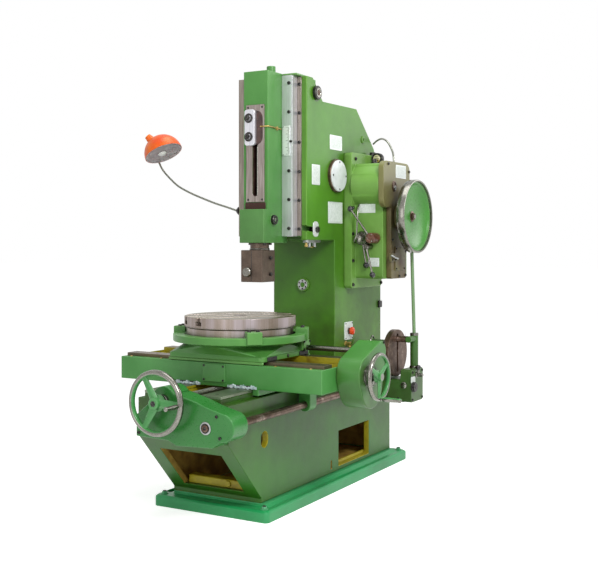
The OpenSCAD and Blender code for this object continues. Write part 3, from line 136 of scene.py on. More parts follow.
# Plinth.
# Cast iron base, machined below, filled and sprayed with machine enamel. It
# is bolted to the floor at its four corners; painted shade darkens its gutters.
def enamel(name, tint, deep, rubbed, rough=0.38, shade_strength=0.35, low=0.0, high=0.0, reach=0.12, stain="#2c2a0e"):
    """Sprayed two-part enamel over filled cast iron: a slight orange peel, cloudy
    colour and edges rubbed paler. Painted shade in the stain colour darkens it in
    corners, and from the height high to the height low, in metres, painted shade and
    a painted brown floor reflection, with some oil, darken it; shade_strength is the
    strength of both, reach is how far the painted shade reaches out of a corner,
    stain is its colour."""
    made, tree = material(name)
    spot = node(tree, "ShaderNodeTexCoord").outputs["Object"]
    # cloudy spray passes about 250 mm wide
    cloud = node(tree, "ShaderNodeTexNoise", {"Scale": 4.0, "Detail": 3.0, "Roughness": 0.6}, {"Vector": spot})
    # brush marks and dust specks of 6 to 20 mm
    speck = node(tree, "ShaderNodeTexNoise", {"Scale": 85.0, "Detail": 4.0, "Roughness": 0.7}, {"Vector": spot})
    base = node(tree, "ShaderNodeValToRGB", {"ramp": [(0.34, linear(deep)), (0.66, linear(tint))]},
                {"Fac": cloud.outputs["Fac"]})
    fleck = node(tree, "ShaderNodeValToRGB", {"ramp": [(0.62, (0, 0, 0, 1)), (0.76, (1, 1, 1, 1))]},
                 {"Fac": speck.outputs["Fac"]})
    fleck_part = node(tree, "ShaderNodeMath", {"operation": "MULTIPLY", 1: 0.08}, {0: fleck.outputs[0]})
    dusty = node(tree, "ShaderNodeMix", {"data_type": "RGBA", 7: linear(rubbed)},
                 {0: fleck_part.outputs[0], 6: base.outputs[0]})
    # rubbed edges: the paint is thinner where the casting's corners stand out
    form = node(tree, "ShaderNodeNewGeometry")
    edge = node(tree, "ShaderNodeMapRange", {"From Min": 0.52, "From Max": 0.60}, {"Value": form.outputs["Pointiness"]})
    edge_part = node(tree, "ShaderNodeMath", {"operation": "MULTIPLY"},
                     {0: edge.outputs[0], 1: cloud.outputs["Fac"]})
    worn = node(tree, "ShaderNodeMix", {"data_type": "RGBA", 7: linear(rubbed)},
                {0: edge_part.outputs[0], 6: dusty.outputs[2]})
    # painted shade: darker in corners and over the span of heights, in the stain colour, broken into patches of 70 mm
    corner_shade_ao = node(tree, "ShaderNodeAmbientOcclusion", {"Distance": reach, "samples": 6})
    corner_shade = node(tree, "ShaderNodeMapRange", {"From Min": 0.95, "From Max": 0.35}, {"Value": corner_shade_ao.outputs["AO"]})
    height = node(tree, "ShaderNodeSeparateXYZ", links={0: spot})
    film = node(tree, "ShaderNodeMapRange", {"From Min": high, "From Max": low}, {"Value": height.outputs["Z"]})
    patch = node(tree, "ShaderNodeTexNoise", {"Scale": 14.0, "Detail": 5.0}, {"Vector": spot})
    spread = node(tree, "ShaderNodeMapRange", {"From Min": 0.3, "From Max": 0.7}, {"Value": patch.outputs["Fac"]})
    both = node(tree, "ShaderNodeMath", {"operation": "MAXIMUM"}, {0: corner_shade.outputs[0], 1: film.outputs[0]})
    much = node(tree, "ShaderNodeMath", {"operation": "MULTIPLY_ADD", 1: 0.6, 2: 0.4}, {0: spread.outputs[0]})
    oily = node(tree, "ShaderNodeMath", {"operation": "MULTIPLY"}, {0: both.outputs[0], 1: much.outputs[0]})
    part = node(tree, "ShaderNodeMath", {"operation": "MULTIPLY", 1: shade_strength}, {0: oily.outputs[0]})
    shaded_colour = node(tree, "ShaderNodeMix", {"data_type": "RGBA", 7: linear(stain)},
                   {0: part.outputs[0], 6: worn.outputs[2]})
    gloss = node(tree, "ShaderNodeMapRange", {"To Min": rough - 0.06, "To Max": rough + 0.12},
                 {"Value": speck.outputs["Fac"]})
    # orange peel is about 2 mm in life and is drawn 7 mm wide so that it shows
    peel = node(tree, "ShaderNodeTexNoise", {"Scale": 150.0, "Detail": 1.0}, {"Vector": spot})
    # the filled casting under the paint waves over about 120 mm
    wave = node(tree, "ShaderNodeTexNoise", {"Scale": 9.0, "Detail": 1.0}, {"Vector": spot})
    slow = node(tree, "ShaderNodeBump", {"Strength": 0.25, "Distance": 0.006}, {"Height": wave.outputs["Fac"]})
    fine = node(tree, "ShaderNodeBump", {"Strength": 0.06, "Distance": 0.002},
                {"Height": peel.outputs["Fac"], "Normal": slow.outputs[0]})
    paint = node(tree, "ShaderNodeBsdfPrincipled", {"IOR": 1.47},
                 {"Base Color": shaded_colour.outputs[2], "Roughness": gloss.outputs[0], "Normal": fine.outputs[0]})
    node(tree, "ShaderNodeOutputMaterial", links={"Surface": paint.outputs[0]})
    return made


def piece_of(name, form, body, finish_slot, *finishes, turn=35, nodes=()):
    """Makes a piece from a bmesh, rounds its shading and hangs it on its body."""
    mesh = bpy.data.meshes.new(name)
    bmesh.ops.recalc_face_normals(form, faces=form.faces)
    form.to_mesh(mesh)
    form.free()
    mesh.shade_smooth()
    mesh.set_sharp_from_angle(angle=math.radians(turn))
    made = bpy.data.objects.new(name, mesh)
    bpy.context.scene.collection.objects.link(made)
    for finish in finishes:
        mesh.materials.append(finish)
    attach(made, body)
    if nodes:
        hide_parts(*nodes)
    return made


def casting(name, source, edge, body, finish_slot, *finishes, sharp=28, cuts=3, paint=None, bore=None):
    """Copies a CAD node's mesh, joins its facets and rounds its sharp edges by
    edge millimetres. paint(middle, facing) picks the finish of each face. bore is
    (y, z, radius) of a bore along X whose mouths stay sharp."""
    form = bmesh.new()
    form.from_mesh(NODES[source].data)
    bmesh.ops.remove_doubles(form, verts=form.verts, dist=0.00003)
    bmesh.ops.dissolve_limit(form, angle_limit=math.radians(0.6), verts=form.verts, edges=form.edges)
    if paint:
        for face in form.faces:
            face.material_index = paint(face.calc_center_median() * 1000, face.normal)
    corners = [e for e in form.edges if len(e.link_faces) == 2 and e.calc_face_angle(0) > math.radians(sharp)]
    if bore:
        axis = Vector((0, bore[0] / 1000, bore[1] / 1000))
        for edge_line in list(corners):
            first, last = (Vector((0, v.co.y, v.co.z)) for v in edge_line.verts)
            along = last - first
            part = max(0.0, min(1.0, (axis - first).dot(along) / max(along.length_squared, 1e-12)))
            if (first + along * part - axis).length < bore[2] / 1000:
                corners.remove(edge_line)
    bmesh.ops.bevel(form, geom=corners, offset=edge / 1000, offset_type="OFFSET", segments=cuts, profile=0.5,
                    affect="EDGES", clamp_overlap=False, material=-1)
    made = piece_of(name, form, body, finish_slot, *finishes, turn=40, nodes=(source,))
    even = made.modifiers.new("even_faces", "WEIGHTED_NORMAL")
    even.keep_sharp = True
    return made


def spun(form, profile, place, axis=(0, 0, 1), steps=32, matter=0, start=0.0):
    """Adds a turned form: (radius, height) pairs in millimetres along the axis."""
    turn = Matrix.Translation(Vector(place) / 1000) @ Vector(axis).to_track_quat("Z", "Y").to_matrix().to_4x4()
    rings = []
    for radius, height in profile:
        count = steps if radius else 1
        rings.append([form.verts.new(turn @ (Vector((
            radius * math.cos(start + 2 * math.pi * k / steps), radius * math.sin(start + 2 * math.pi * k / steps),
            height)) / 1000)) for k in range(count)])
    faces = []
    for low, high in zip(rings, rings[1:]):
        for k in range(steps):
            ring = (low[k % len(low)], low[(k + 1) % len(low)], high[(k + 1) % len(high)], high[k % len(high)])
            ring = list(dict.fromkeys(ring))
            if len(ring) > 2:
                faces.append(form.faces.new(ring))
    closed = math.dist(profile[0], profile[-1]) < 0.001
    for ring in (rings[0], rings[-1]):
        if len(ring) > 1 and not closed:
            faces.append(form.faces.new(ring))
    if closed:
        bmesh.ops.remove_doubles(form, verts=rings[0] + rings[-1], dist=1e-7)
    for face in faces:
        if face.is_valid:
            face.material_index = matter
    return form


def slab(form, middle, size, facing=(0, -1, 0), up=(0, 0, 1), corner=4.0, edge=1.0, matter=0):
    """Adds a plate with rounded corners and a broken edge: size is width, height
    and thickness, middle is the middle of its back, and it faces along facing."""
    width, height, thick = size
    ahead = Vector(facing).normalized()
    top = Vector(up).normalized()
    side = top.cross(ahead)
    rings = []
    for depth, shrink in ((0, 0), (thick - edge, 0), (thick, edge)):
        ring = []
        for sx, sz, first in ((1, 1, 0), (-1, 1, 90), (-1, -1, 180), (1, -1, 270)):
            for step in range(5):
                angle = math.radians(first + step * 22.5)
                reach = max(corner - shrink, 0.1)
                x = sx * (width / 2 - corner) + reach * math.cos(angle)
                z = sz * (height / 2 - corner) + reach * math.sin(angle)
                ring.append(form.verts.new((Vector(middle) + side * x + top * z + ahead * depth) / 1000))
        rings.append(ring)
    faces = [form.faces.new(rings[0]), form.faces.new(rings[-1])]
    for low, high in zip(rings, rings[1:]):
        for k in range(len(low)):
            nxt = (k + 1) % len(low)
            faces.append(form.faces.new((low[k], low[nxt], high[nxt], high[k])))
    for face in faces:
        face.material_index = matter
    return form


def bolt(form, place, axis, radius=8.0, head=7.0, hexagon=False, matter=0):
    """Adds a socket screw's head, or a hexagon head on a washer."""
    if hexagon:
        spun(form, [(radius * 1.35, 0), (radius * 1.35, 1.6), (radius * 1.2, 2)], place, axis, 28, matter)
        spun(form, [(radius, 1.9), (radius, head - 1), (radius * 0.86, head), (0, head)], place, axis, 6, matter)
    else:
        spun(form, [(radius, 0), (radius, head - 1), (radius - 1, head), (radius * 0.58, head),
                    (radius * 0.52, head * 0.45), (0, head * 0.45)], place, axis, 24, matter)
    return form


# the column's green: its painted shade reaches 0.3 m out of corners, as under the arm, and darkens it below 1.3 m
machine_enamel = enamel("machine_enamel_green", "#4e8f16", "#427e12", "#7fae4e", shade_strength=0.75, low=0.55, high=1.3,
                        reach=0.3)
floor_enamel = enamel("machine_enamel_near_floor", "#25a65e", "#1d9150", "#7aba94", 0.34, 0.15)

# bare cast skin inside the bed: sand-cast, brown with old oil, coloured lighter than it is as painted light for the
# bed's dim inside
cast_skin, tree = material("oily_cast_skin")
spot = node(tree, "ShaderNodeTexCoord").outputs["Object"]
cloud = node(tree, "ShaderNodeTexNoise", {"Scale": 16.0, "Detail": 6.0}, {"Vector": spot})
dark = node(tree, "ShaderNodeValToRGB", {"ramp": [(0.35, linear("#94702a")), (0.7, linear("#bfa04a"))]},
            {"Fac": cloud.outputs["Fac"]})
grain = node(tree, "ShaderNodeTexNoise", {"Scale": 220.0, "Detail": 2.0}, {"Vector": spot})
sand = node(tree, "ShaderNodeBump", {"Strength": 0.5, "Distance": 0.002}, {"Height": grain.outputs["Fac"]})
skin = node(tree, "ShaderNodeBsdfPrincipled", {"Roughness": 0.7, "IOR": 1.5},
            {"Base Color": dark.outputs[0], "Normal": sand.outputs[0]})
node(tree, "ShaderNodeOutputMaterial", links={"Surface": skin.outputs[0]})

casting("plinth", "base_plinth", 3, "frame", "green_paint", floor_enamel)
inside = bmesh.new()
slab(inside, (0, 0, 64.1), (390, 1180, 1.5), (0, 0, 1), (0, 1, 0), 6, 0.4, 0)
piece_of("oil_soaked_floor", inside, "frame", "green_paint", cast_skin)

# blackened bolts: hot black oxide leaves a dark, slightly blue skin that oil keeps wet
black_oxide, tree = material("black_oxide_steel")
spot = node(tree, "ShaderNodeTexCoord").outputs["Object"]
rubs = node(tree, "ShaderNodeTexNoise", {"Scale": 260.0, "Detail": 3.0}, {"Vector": spot})
skin = node(tree, "ShaderNodeValToRGB", {"ramp": [(0.45, linear("#2c2b2b")), (0.75, linear("#6d6a66"))]},
            {"Fac": rubs.outputs["Fac"]})
metal = node(tree, "ShaderNodeBsdfPrincipled", {"Metallic": 0.85, "Roughness": 0.38}, {"Base Color": skin.outputs[0]})
node(tree, "ShaderNodeOutputMaterial", links={"Surface": metal.outputs[0]})

anchors = bmesh.new()
for x in (-261, 261):
    for y in (-682.5, 682.5):
        spun(anchors, [(17, 49.8), (17, 52.5), (16, 53)], (x, y, 0), steps=28)
        spun(anchors, [(12.5, 52.8), (12.5, 60), (11, 61.5), (8, 61.5)], (x, y, 0), steps=6)
        spun(anchors, [(8, 60), (8, 63.5), (7, 64.5), (0, 64.5)], (x, y, 0), steps=20, matter=1)
piece_of("anchor_bolts", anchors, "frame", "green_paint", floor_enamel, black_oxide)

# Bed.
# Hollow iron casting with an undercut nose. Outside it wears the machine
# enamel; inside and in the chip trough it keeps a yellow oil-proof primer.
primer, tree = material("yellow_oil_primer")
spot = node(tree, "ShaderNodeTexCoord").outputs["Object"]
stain = node(tree, "ShaderNodeTexNoise", {"Scale": 11.0, "Detail": 6.0, "Roughness": 0.65}, {"Vector": spot})
soak = node(tree, "ShaderNodeValToRGB", {"ramp": [
    (0.30, linear("#7a6312")), (0.45, linear("#a0941c")), (0.70, linear("#b8ac24"))]}, {"Fac": stain.outputs["Fac"]})
grit = node(tree, "ShaderNodeTexNoise", {"Scale": 160.0, "Detail": 2.0}, {"Vector": spot})
sand = node(tree, "ShaderNodeBump", {"Strength": 0.3, "Distance": 0.002}, {"Height": grit.outputs["Fac"]})
coat = node(tree, "ShaderNodeBsdfPrincipled", {"Roughness": 0.48, "IOR": 1.5},
            {"Base Color": soak.outputs[0], "Normal": sand.outputs[0]})
node(tree, "ShaderNodeOutputMaterial", links={"Surface": coat.outputs[0]})

def bed_paint(middle, facing):
    """0 enamel, 1 yellow primer, 2 oily cast skin."""
    x, y, z = middle
    if facing.y < -0.99 and z < 80:
        return 0
    if abs(x) > 201 and z < 180 and y < 0:
        return 2
    if abs(x) < 100 and z > 450 and abs(y) < 904 and (facing.z > 0.9 or abs(facing.x) > 0.9):
        return 1
    if abs(x) < 229 and z < 428 and -904 < y < 639:
        inside = abs(x) < 201 and (facing.z > 0.5 or facing.z < -0.5 or abs(facing.x) > 0.9 or abs(facing.y) > 0.9)
        if abs(x) > 201:
            return 1
        if y < -600 and abs(facing.y) < 0.99 and -130 < x < 130:
            return 0
        return 2 if inside else 0
    return 0


# a darker copy of the green, as painted shade on the low bed; painted shadow of the saddle, with oil, browns it towards
# its top at 0.6 m
bed_enamel = enamel("machine_enamel_bed", "#2e720a", "#256108", "#5f9038", 0.36, 0.85, 0.6, 0.12)
casting("bed_casting", "bed", 3.5, "frame", "green_paint", bed_enamel, primer, cast_skin, paint=bed_paint)

# a bare ledge and a pipe plug behind the front opening, and rails at the window
ledge = bmesh.new()
slab(ledge, (0, -628, 109), (300, 50, 34), (0, 0, 1), (0, 1, 0), 4, 3, 0)
slab(ledge, (199, 215, 86), (12, 322, 14), (0, 0, 1), (0, 1, 0), 3, 2, 0)
spun(ledge, [(15, 0), (15, 7), (12, 9), (0, 9)], (60, -652, 126), (0, -1, 0), 6, 0)
piece_of("bed_ledges", ledge, "frame", "green_paint", primer)

# Bed ways.
# Scraped cast iron ways: grey-green with slideway oil, half-moon scraping
# marks about 12 mm across laid in rows, rubbed bright along the middle.
way_iron, tree = material("scraped_way_iron")
spot = node(tree, "ShaderNodeTexCoord").outputs["Object"]
moons = node(tree, "ShaderNodeTexVoronoi", {"Scale": 80.0, "Randomness": 0.55}, {"Vector": spot})
cloud = node(tree, "ShaderNodeTexNoise", {"Scale": 7.0, "Detail": 4.0}, {"Vector": spot})
base = node(tree, "ShaderNodeValToRGB", {"ramp": [(0.3, linear("#5c6650")), (0.7, linear("#828d76"))]},
            {"Fac": cloud.outputs["Fac"]})
mark = node(tree, "ShaderNodeMath", {"operation": "MULTIPLY", 1: 0.28}, {0: moons.outputs["Distance"]})
scraped = node(tree, "ShaderNodeMix", {"data_type": "RGBA", 7: linear("#a7ab9b")},
               {0: mark.outputs[0], 6: base.outputs[0]})
dents = node(tree, "ShaderNodeBump", {"Strength": 0.15, "Distance": 0.001}, {"Height": moons.outputs["Distance"]})
iron = node(tree, "ShaderNodeBsdfPrincipled", {"Metallic": 0.8, "Roughness": 0.4},
            {"Base Color": scraped.outputs[2], "Normal": dents.outputs[0]})
node(tree, "ShaderNodeOutputMaterial", links={"Surface": iron.outputs[0]})


def way_paint(middle, facing):
    """0 scraped iron, 1 yellow primer on the sides that face the trough."""
    return 1 if abs(middle.x) < 96 and abs(facing.x) > 0.9 else 0


casting("bed_way_strips", "bed_ways", 1.2, "frame", "oiled_iron", way_iron, primer, cuts=2, paint=way_paint)

way_screws = bmesh.new()
for side in (-1, 1):
    for k in range(7):
        spun(way_screws, [(7.5, 0), (7.5, 0.8), (4, 0.8), (3.4, 0.2), (0, 0.2)],
             (side * 145, -860 + 150 * k, 544.6), steps=20)
piece_of("way_screws", way_screws, "frame", "oiled_iron", black_oxide)

# Column.
# The upright and its forked arm are one iron casting, filled and sprayed.
# Small fittings are screwed to it: a bored flange, an oil valve, plates.
casting("column_casting", "column", 5, "frame", "green_paint", machine_enamel)

flange = bmesh.new()
spun(flange, [(34, 0), (34, 9), (32, 11), (26, 11)], (0, 108.7, 955), (0, -1, 0), 48, 0)
spun(flange, [(27, 10), (27, 11.6), (25, 12.4), (13, 12.4), (11, 9), (0, 9)], (0, 108.7, 955), (0, -1, 0), 48, 2)
for k in range(6):
    angle = math.radians(60 * k + 30)
    bolt(flange, (20 * math.cos(angle), 96.5, 955 + 20 * math.sin(angle)), (0, -1, 0), 4.5, 2, matter=1)

# bare aluminium plates, brushed lengthwise, riveted at their corners
plate_metal, tree = material("brushed_aluminium_plate")
spot = node(tree, "ShaderNodeTexCoord").outputs["Object"]
long_way = node(tree, "ShaderNodeMapping", {"Scale": (1.0, 1.0, 18.0)}, {"Vector": spot})
lines = node(tree, "ShaderNodeTexNoise", {"Scale": 60.0, "Detail": 3.0}, {"Vector": long_way.outputs[0]})
bright = node(tree, "ShaderNodeValToRGB", {"ramp": [(0.3, linear("#dfe5e2")), (0.75, linear("#f0f4f2"))]},
              {"Fac": lines.outputs["Fac"]})
rough = node(tree, "ShaderNodeMapRange", {"To Min": 0.38, "To Max": 0.5}, {"Value": lines.outputs["Fac"]})
sheet_metal = node(tree, "ShaderNodeBsdfPrincipled", {"Metallic": 0.35, "IOR": 1.45},
                   {"Base Color": bright.outputs[0], "Roughness": rough.outputs[0]})
node(tree, "ShaderNodeOutputMaterial", links={"Surface": sheet_metal.outputs[0]})

plates = bmesh.new()
for y, z, wide, high in ((121, 1658, 127, 72), (-83, 1489, 79, 97), (115, 1313, 150, 105)):
    slab(plates, (175.7, y, z), (wide, high, 1.8), (1, 0, 0), (0, 0, 1), 4, 0.5, 0)
    slab(plates, (177.3, y, z), (wide - 16, high - 16, 0.6), (1, 0, 0), (0, 0, 1), 2, 0.2, 1)
    for sy in (-1, 1):
        for sz in (-1, 1):
            spun(plates, [(3, 0), (2.6, 1.2), (0, 1.8)], (177.3, y + sy * (wide / 2 - 5), z + sz * (high / 2 - 5)),
                 (1, 0, 0), 12, 0)

# the bare middle of each plate is coated pale grey
plate_face, tree = material("pale_coated_plate")
spot = node(tree, "ShaderNodeTexCoord").outputs["Object"]
mist = node(tree, "ShaderNodeTexNoise", {"Scale": 120.0, "Detail": 4.0}, {"Vector": spot})
pale = node(tree, "ShaderNodeValToRGB", {"ramp": [(0.35, linear("#d5dfd8")), (0.65, linear("#e9f0ec"))]},
            {"Fac": mist.outputs["Fac"]})
lacquer = node(tree, "ShaderNodeBsdfPrincipled", {"Roughness": 0.35, "IOR": 1.5}, {"Base Color": pale.outputs[0]})
node(tree, "ShaderNodeOutputMaterial", links={"Surface": lacquer.outputs[0]})
piece_of("arm_plates", plates, "frame", "steel", plate_metal, plate_face)

# oil valve: a brass elbow with a lever, low on the right side of the column
brass, tree = material("cast_brass")
spot = node(tree, "ShaderNodeTexCoord").outputs["Object"]
tarnish = node(tree, "ShaderNodeTexNoise", {"Scale": 70.0, "Detail": 5.0}, {"Vector": spot})
tone = node(tree, "ShaderNodeValToRGB", {"ramp": [(0.35, linear("#97793a")), (0.7, linear("#dcc480"))]},
            {"Fac": tarnish.outputs["Fac"]})
metal = node(tree, "ShaderNodeBsdfPrincipled", {"Metallic": 1.0, "Roughness": 0.36}, {"Base Color": tone.outputs[0]})
node(tree, "ShaderNodeOutputMaterial", links={"Surface": metal.outputs[0]})


def pipe(form, points, radius, steps=10, matter=0, smooth=6):
    """Adds a bent pipe through points given in millimetres."""
    ends = [Vector(p) for p in points]
    ends = [2 * ends[0] - ends[1]] + ends + [2 * ends[-1] - ends[-2]]
    track = []
    for a, b, c, d in zip(ends, ends[1:], ends[2:], ends[3:]):
        for k in range(smooth):
            t = k / smooth
            track.append(0.5 * (2 * b + (c - a) * t + (2 * a - 5 * b + 4 * c - d) * t * t
                                + (3 * b - a - 3 * c + d) * t * t * t))
    track.append(ends[-2])
    side = (track[1] - track[0]).orthogonal().normalized()
    rings = []
    for i, point in enumerate(track):
        ahead = (track[min(i + 1, len(track) - 1)] - track[max(i - 1, 0)]).normalized()
        side = (side - ahead * side.dot(ahead)).normalized()
        other = ahead.cross(side)
        rings.append([form.verts.new((point + radius * (
            side * math.cos(2 * math.pi * k / steps) + other * math.sin(2 * math.pi * k / steps))) / 1000)
            for k in range(steps)])
    faces = [form.faces.new(rings[0]), form.faces.new(rings[-1])]
    for low, high in zip(rings, rings[1:]):
        for k in range(steps):
            faces.append(form.faces.new((low[k], low[(k + 1) % steps], high[(k + 1) % steps], high[k])))
    for face in faces:
        face.material_index = matter
    return form


valve = bmesh.new()
spun(valve, [(13, 0), (13, 3), (9, 5), (9, 24), (11, 26), (11, 34), (0, 34)], (175.5, 226, 658), (1, 0, 0), 24, 0)
spun(valve, [(9, 0), (9, 26), (12, 27), (12, 34), (0, 34)], (196, 226, 658), (0, 0, -1), 6, 0)
pipe(valve, [(206, 226, 658), (214, 225, 662), (220, 222, 670), (222, 220, 680)], 4.5, 12, 1)
piece_of("oil_valve", valve, "frame", "steel", brass, machine_enamel)

# sight block and its screws under the arm, beside the guide
steel_block, tree = material("milled_steel")
spot = node(tree, "ShaderNodeTexCoord").outputs["Object"]
cutter = node(tree, "ShaderNodeTexNoise", {"Scale": 34.0, "Detail": 5.0, "Roughness": 0.7}, {"Vector": spot})
tone = node(tree, "ShaderNodeValToRGB", {"ramp": [(0.3, linear("#8d8f90")), (0.7, linear("#b9bcb9"))]},
            {"Fac": cutter.outputs["Fac"]})
rough = node(tree, "ShaderNodeMapRange", {"To Min": 0.28, "To Max": 0.46}, {"Value": cutter.outputs["Fac"]})
metal = node(tree, "ShaderNodeBsdfPrincipled", {"Metallic": 1.0},
             {"Base Color": tone.outputs[0], "Roughness": rough.outputs[0]})
node(tree, "ShaderNodeOutputMaterial", links={"Surface": metal.outputs[0]})

piece_of("bored_flange", flange, "frame", "green_paint", machine_enamel, black_oxide, steel_block)

# turned steel that old oil has browned, scratched bright where it is handled
oil_steel, tree = material("oil_browned_steel")
spot = node(tree, "ShaderNodeTexCoord").outputs["Object"]
cloud = node(tree, "ShaderNodeTexNoise", {"Scale": 26.0, "Detail": 6.0, "Roughness": 0.7}, {"Vector": spot})
scratch = node(tree, "ShaderNodeTexNoise", {"Scale": 300.0, "Detail": 3.0}, {"Vector": spot})
tone = node(tree, "ShaderNodeValToRGB", {"ramp": [
    (0.3, linear("#3f2c22")), (0.55, linear("#6f594c")), (0.78, linear("#b3a59e"))]}, {"Fac": cloud.outputs["Fac"]})
rough = node(tree, "ShaderNodeMapRange", {"To Min": 0.28, "To Max": 0.5}, {"Value": scratch.outputs["Fac"]})
metal = node(tree, "ShaderNodeBsdfPrincipled", {"Metallic": 0.8},
             {"Base Color": tone.outputs[0], "Roughness": rough.outputs[0]})
node(tree, "ShaderNodeOutputMaterial", links={"Surface": metal.outputs[0]})

block = bmesh.new()
slab(block, (161, -95, 1177.5), (26, 130, 12), (0, 0, -1), (0, 1, 0), 4, 1.5, 0)
spun(block, [(8, 0), (8, 20), (6, 22), (0, 22)], (161, -120, 1166), (0, 0, -1), 24, 0)
spun(block, [(8, 0), (8, 20), (6, 22), (0, 22)], (161, -70, 1166), (0, 0, -1), 24, 0)
spun(block, [(6, 0), (6, 12), (9, 13), (9, 20), (0, 20)], (161, -150, 1166), (0, 0, -1), 6, 1)
pipe(block, [(161, -120, 1150), (161, -95, 1143), (161, -70, 1150)], 3, 10, 1)
piece_of("oil_block", block, "frame", "steel", steel_block, brass)

# rear: a pressed cover on the hollow column and a small black box beside it
casting("column_rear_cover", "rear_cover", 2.5, "frame", "green_paint", machine_enamel)
rear = bmesh.new()
for z in (725, 920, 1110, 1305):
    for x in (-100, 100):
        bolt(rear, (x, 650.2, z), (0, 1, 0), 7, 5, matter=0)
for k in range(7):
    slab(rear, (0, 650.2, 790 + 26 * k), (130, 9, 4), (0, 1, 0), (0, 0, 1), 4, 1.5, 1)
slab(rear, (176, 620, 836), (34, 36, 11), (1, 0, 0), (0, 0, 1), 4, 2, 0)
piece_of("rear_fittings", rear, "frame", "oiled_iron", black_oxide, machine_enamel)

# lifting eyes are screwed into the sides of the casting; only their plugs show
plugs = bmesh.new()
for x, way in ((-175.7, -1), (175.7, 1)):
    for y, z in ((420, 1700), (430, 640)):
        spun(plugs, [(20, 0), (20, 3), (17, 5), (8, 5), (7, 2), (0, 2)], (x, y, z), (way, 0, 0), 32, 0)
spun(plugs, [(60, 0), (60, 5), (57, 7), (0, 7)], (-175.7, 300, 1497), (-1, 0, 0), 48, 0)
for k in range(6):
    bolt(plugs, (-182, 300 + 49 * math.cos(k * 1.0472), 1497 + 49 * math.sin(k * 1.0472)), (-1, 0, 0), 5, 4, matter=1)
slab(plugs, (-175.7, 330, 820), (230, 330, 6), (-1, 0, 0), (0, 0, 1), 14, 2, 0)
for sy in (-1, 1):
    for z in (672, 820, 968):
        bolt(plugs, (-181.5, 330 + sy * 103, z), (-1, 0, 0), 6, 5, matter=1)
piece_of("column_covers", plugs, "frame", "green_paint", machine_enamel, black_oxide)

# Gearbox.
# Iron case bolted to the column, with a round gear housing across its top
# and an end plate. Its flange, plugs, pipes and plates are set on one by one.
# a lighter copy of the green, as painted light on the high case; painted shade darkens it below 1.6 m
gearbox_enamel = enamel("machine_enamel_gearbox", "#7bae4e", "#6b9b42", "#98b878", shade_strength=0.35, low=0.6, high=1.6)
casting("gearbox_casting", "gearbox_case", 4, "frame", "green_paint", gearbox_enamel)
# a brown copy of the green: painted shadow of the main wheel and its brown reflection, strongest below 1.5 m
end_plate_shadow_enamel = enamel("machine_enamel_end_plate", "#817a4a", "#736c40", "#93ab68", 0.36, 1.0, 1.1, 1.5,
                      stain="#4f3a22")
casting("gearbox_end", "gearbox_end_plate", 3, "frame", "green_paint", end_plate_shadow_enamel)

fastenings = bmesh.new()
for y in (222, 549):
    for z in (955, 1075, 1210, 1340, 1587):
        bolt(fastenings, (218.8, y if z < 1500 else y + 28, z), (1, 0, 0), 8.5, 7, matter=0)
for y, z in ((250, 1556), (504, 1530), (504, 1400), (458, 1000), (458, 1120), (380, 997), (298, 1180)):
    bolt(fastenings, (399.8, y, z), (1, 0, 0), 6.5, 6, matter=0)
piece_of("gearbox_bolts", fastenings, "frame", "oiled_iron", black_oxide)

# turned boss and inspection cover let into the end plate
boss = bmesh.new()
spun(boss, [(66, 0), (66, 6), (63, 9), (56, 9), (54, 6), (45, 6), (45, 12), (43, 14), (40.4, 14)],
     (399.6, 387.5, 1297), (1, 0, 0), 64, 0)
for k in range(6):
    angle = math.radians(60 * k)
    bolt(boss, (408.4, 387.5 + 59.5 * math.cos(angle), 1297 + 59.5 * math.sin(angle)), (1, 0, 0), 3.5, 3, matter=1)
slab(boss, (399.6, 385, 1085), (118, 120, 6), (1, 0, 0), (0, 0, 1), 8, 2, 0)
for sy in (-1, 1):
    for sz in (-1, 1):
        bolt(boss, (405.4, 385 + sy * 50, 1085 + sz * 50), (1, 0, 0), 4.5, 4, matter=1)
# the drum shaft's end in its open bore, and a stop bracket low on the case corner
spun(boss, [(27, 0), (27, 2), (25, 3), (21, 3), (20, 0.6), (0, 0.6)], (399.7, 322, 1447), (1, 0, 0), 40, 2)
spun(boss, [(12, 0.4), (12, 5), (10, 6.5), (0, 6.5)], (399.7, 326, 1440), (1, 0, 0), 6, 3)
slab(boss, (399.7, 300, 1092), (74, 40, 9), (1, 0, 0), (0, 0, 1), 6, 2, 0)
pipe(boss, [(399, 270, 1098), (416, 268, 1100), (420, 290, 1092), (420, 322, 1086), (408, 338, 1084)], 5, 12, 3)
for y in (282, 318):
    bolt(boss, (408.4, y, 1080), (1, 0, 0), 5, 4, matter=1)
piece_of("end_plate_boss", boss, "frame", "green_paint", end_plate_shadow_enamel, black_oxide, oil_steel, steel_block)

# plates and a small switch box on the front of the case, facing the operator
fronts = bmesh.new()
slab(fronts, (284, 246.8, 1340), (96, 52, 1.8), (0, -1, 0), (0, 0, 1), 3, 0.5, 0)
slab(fronts, (284, 245.2, 1340), (84, 40, 0.6), (0, -1, 0), (0, 0, 1), 2, 0.2, 1)
slab(fronts, (322, 246.8, 1068), (62, 44, 1.8), (0, -1, 0), (0, 0, 1), 3, 0.5, 0)
slab(fronts, (322, 245.2, 1068), (52, 34, 0.6), (0, -1, 0), (0, 0, 1), 2, 0.2, 1)
slab(fronts, (399.7, 402, 1524), (124, 66, 1.8), (1, 0, 0), (0, 0, 1), 3, 0.5, 0)
slab(fronts, (401.3, 402, 1524), (114, 56, 0.6), (1, 0, 0), (0, 0, 1), 2, 0.2, 1)
piece_of("gearbox_plates", fronts, "frame", "steel", plate_metal, plate_face)

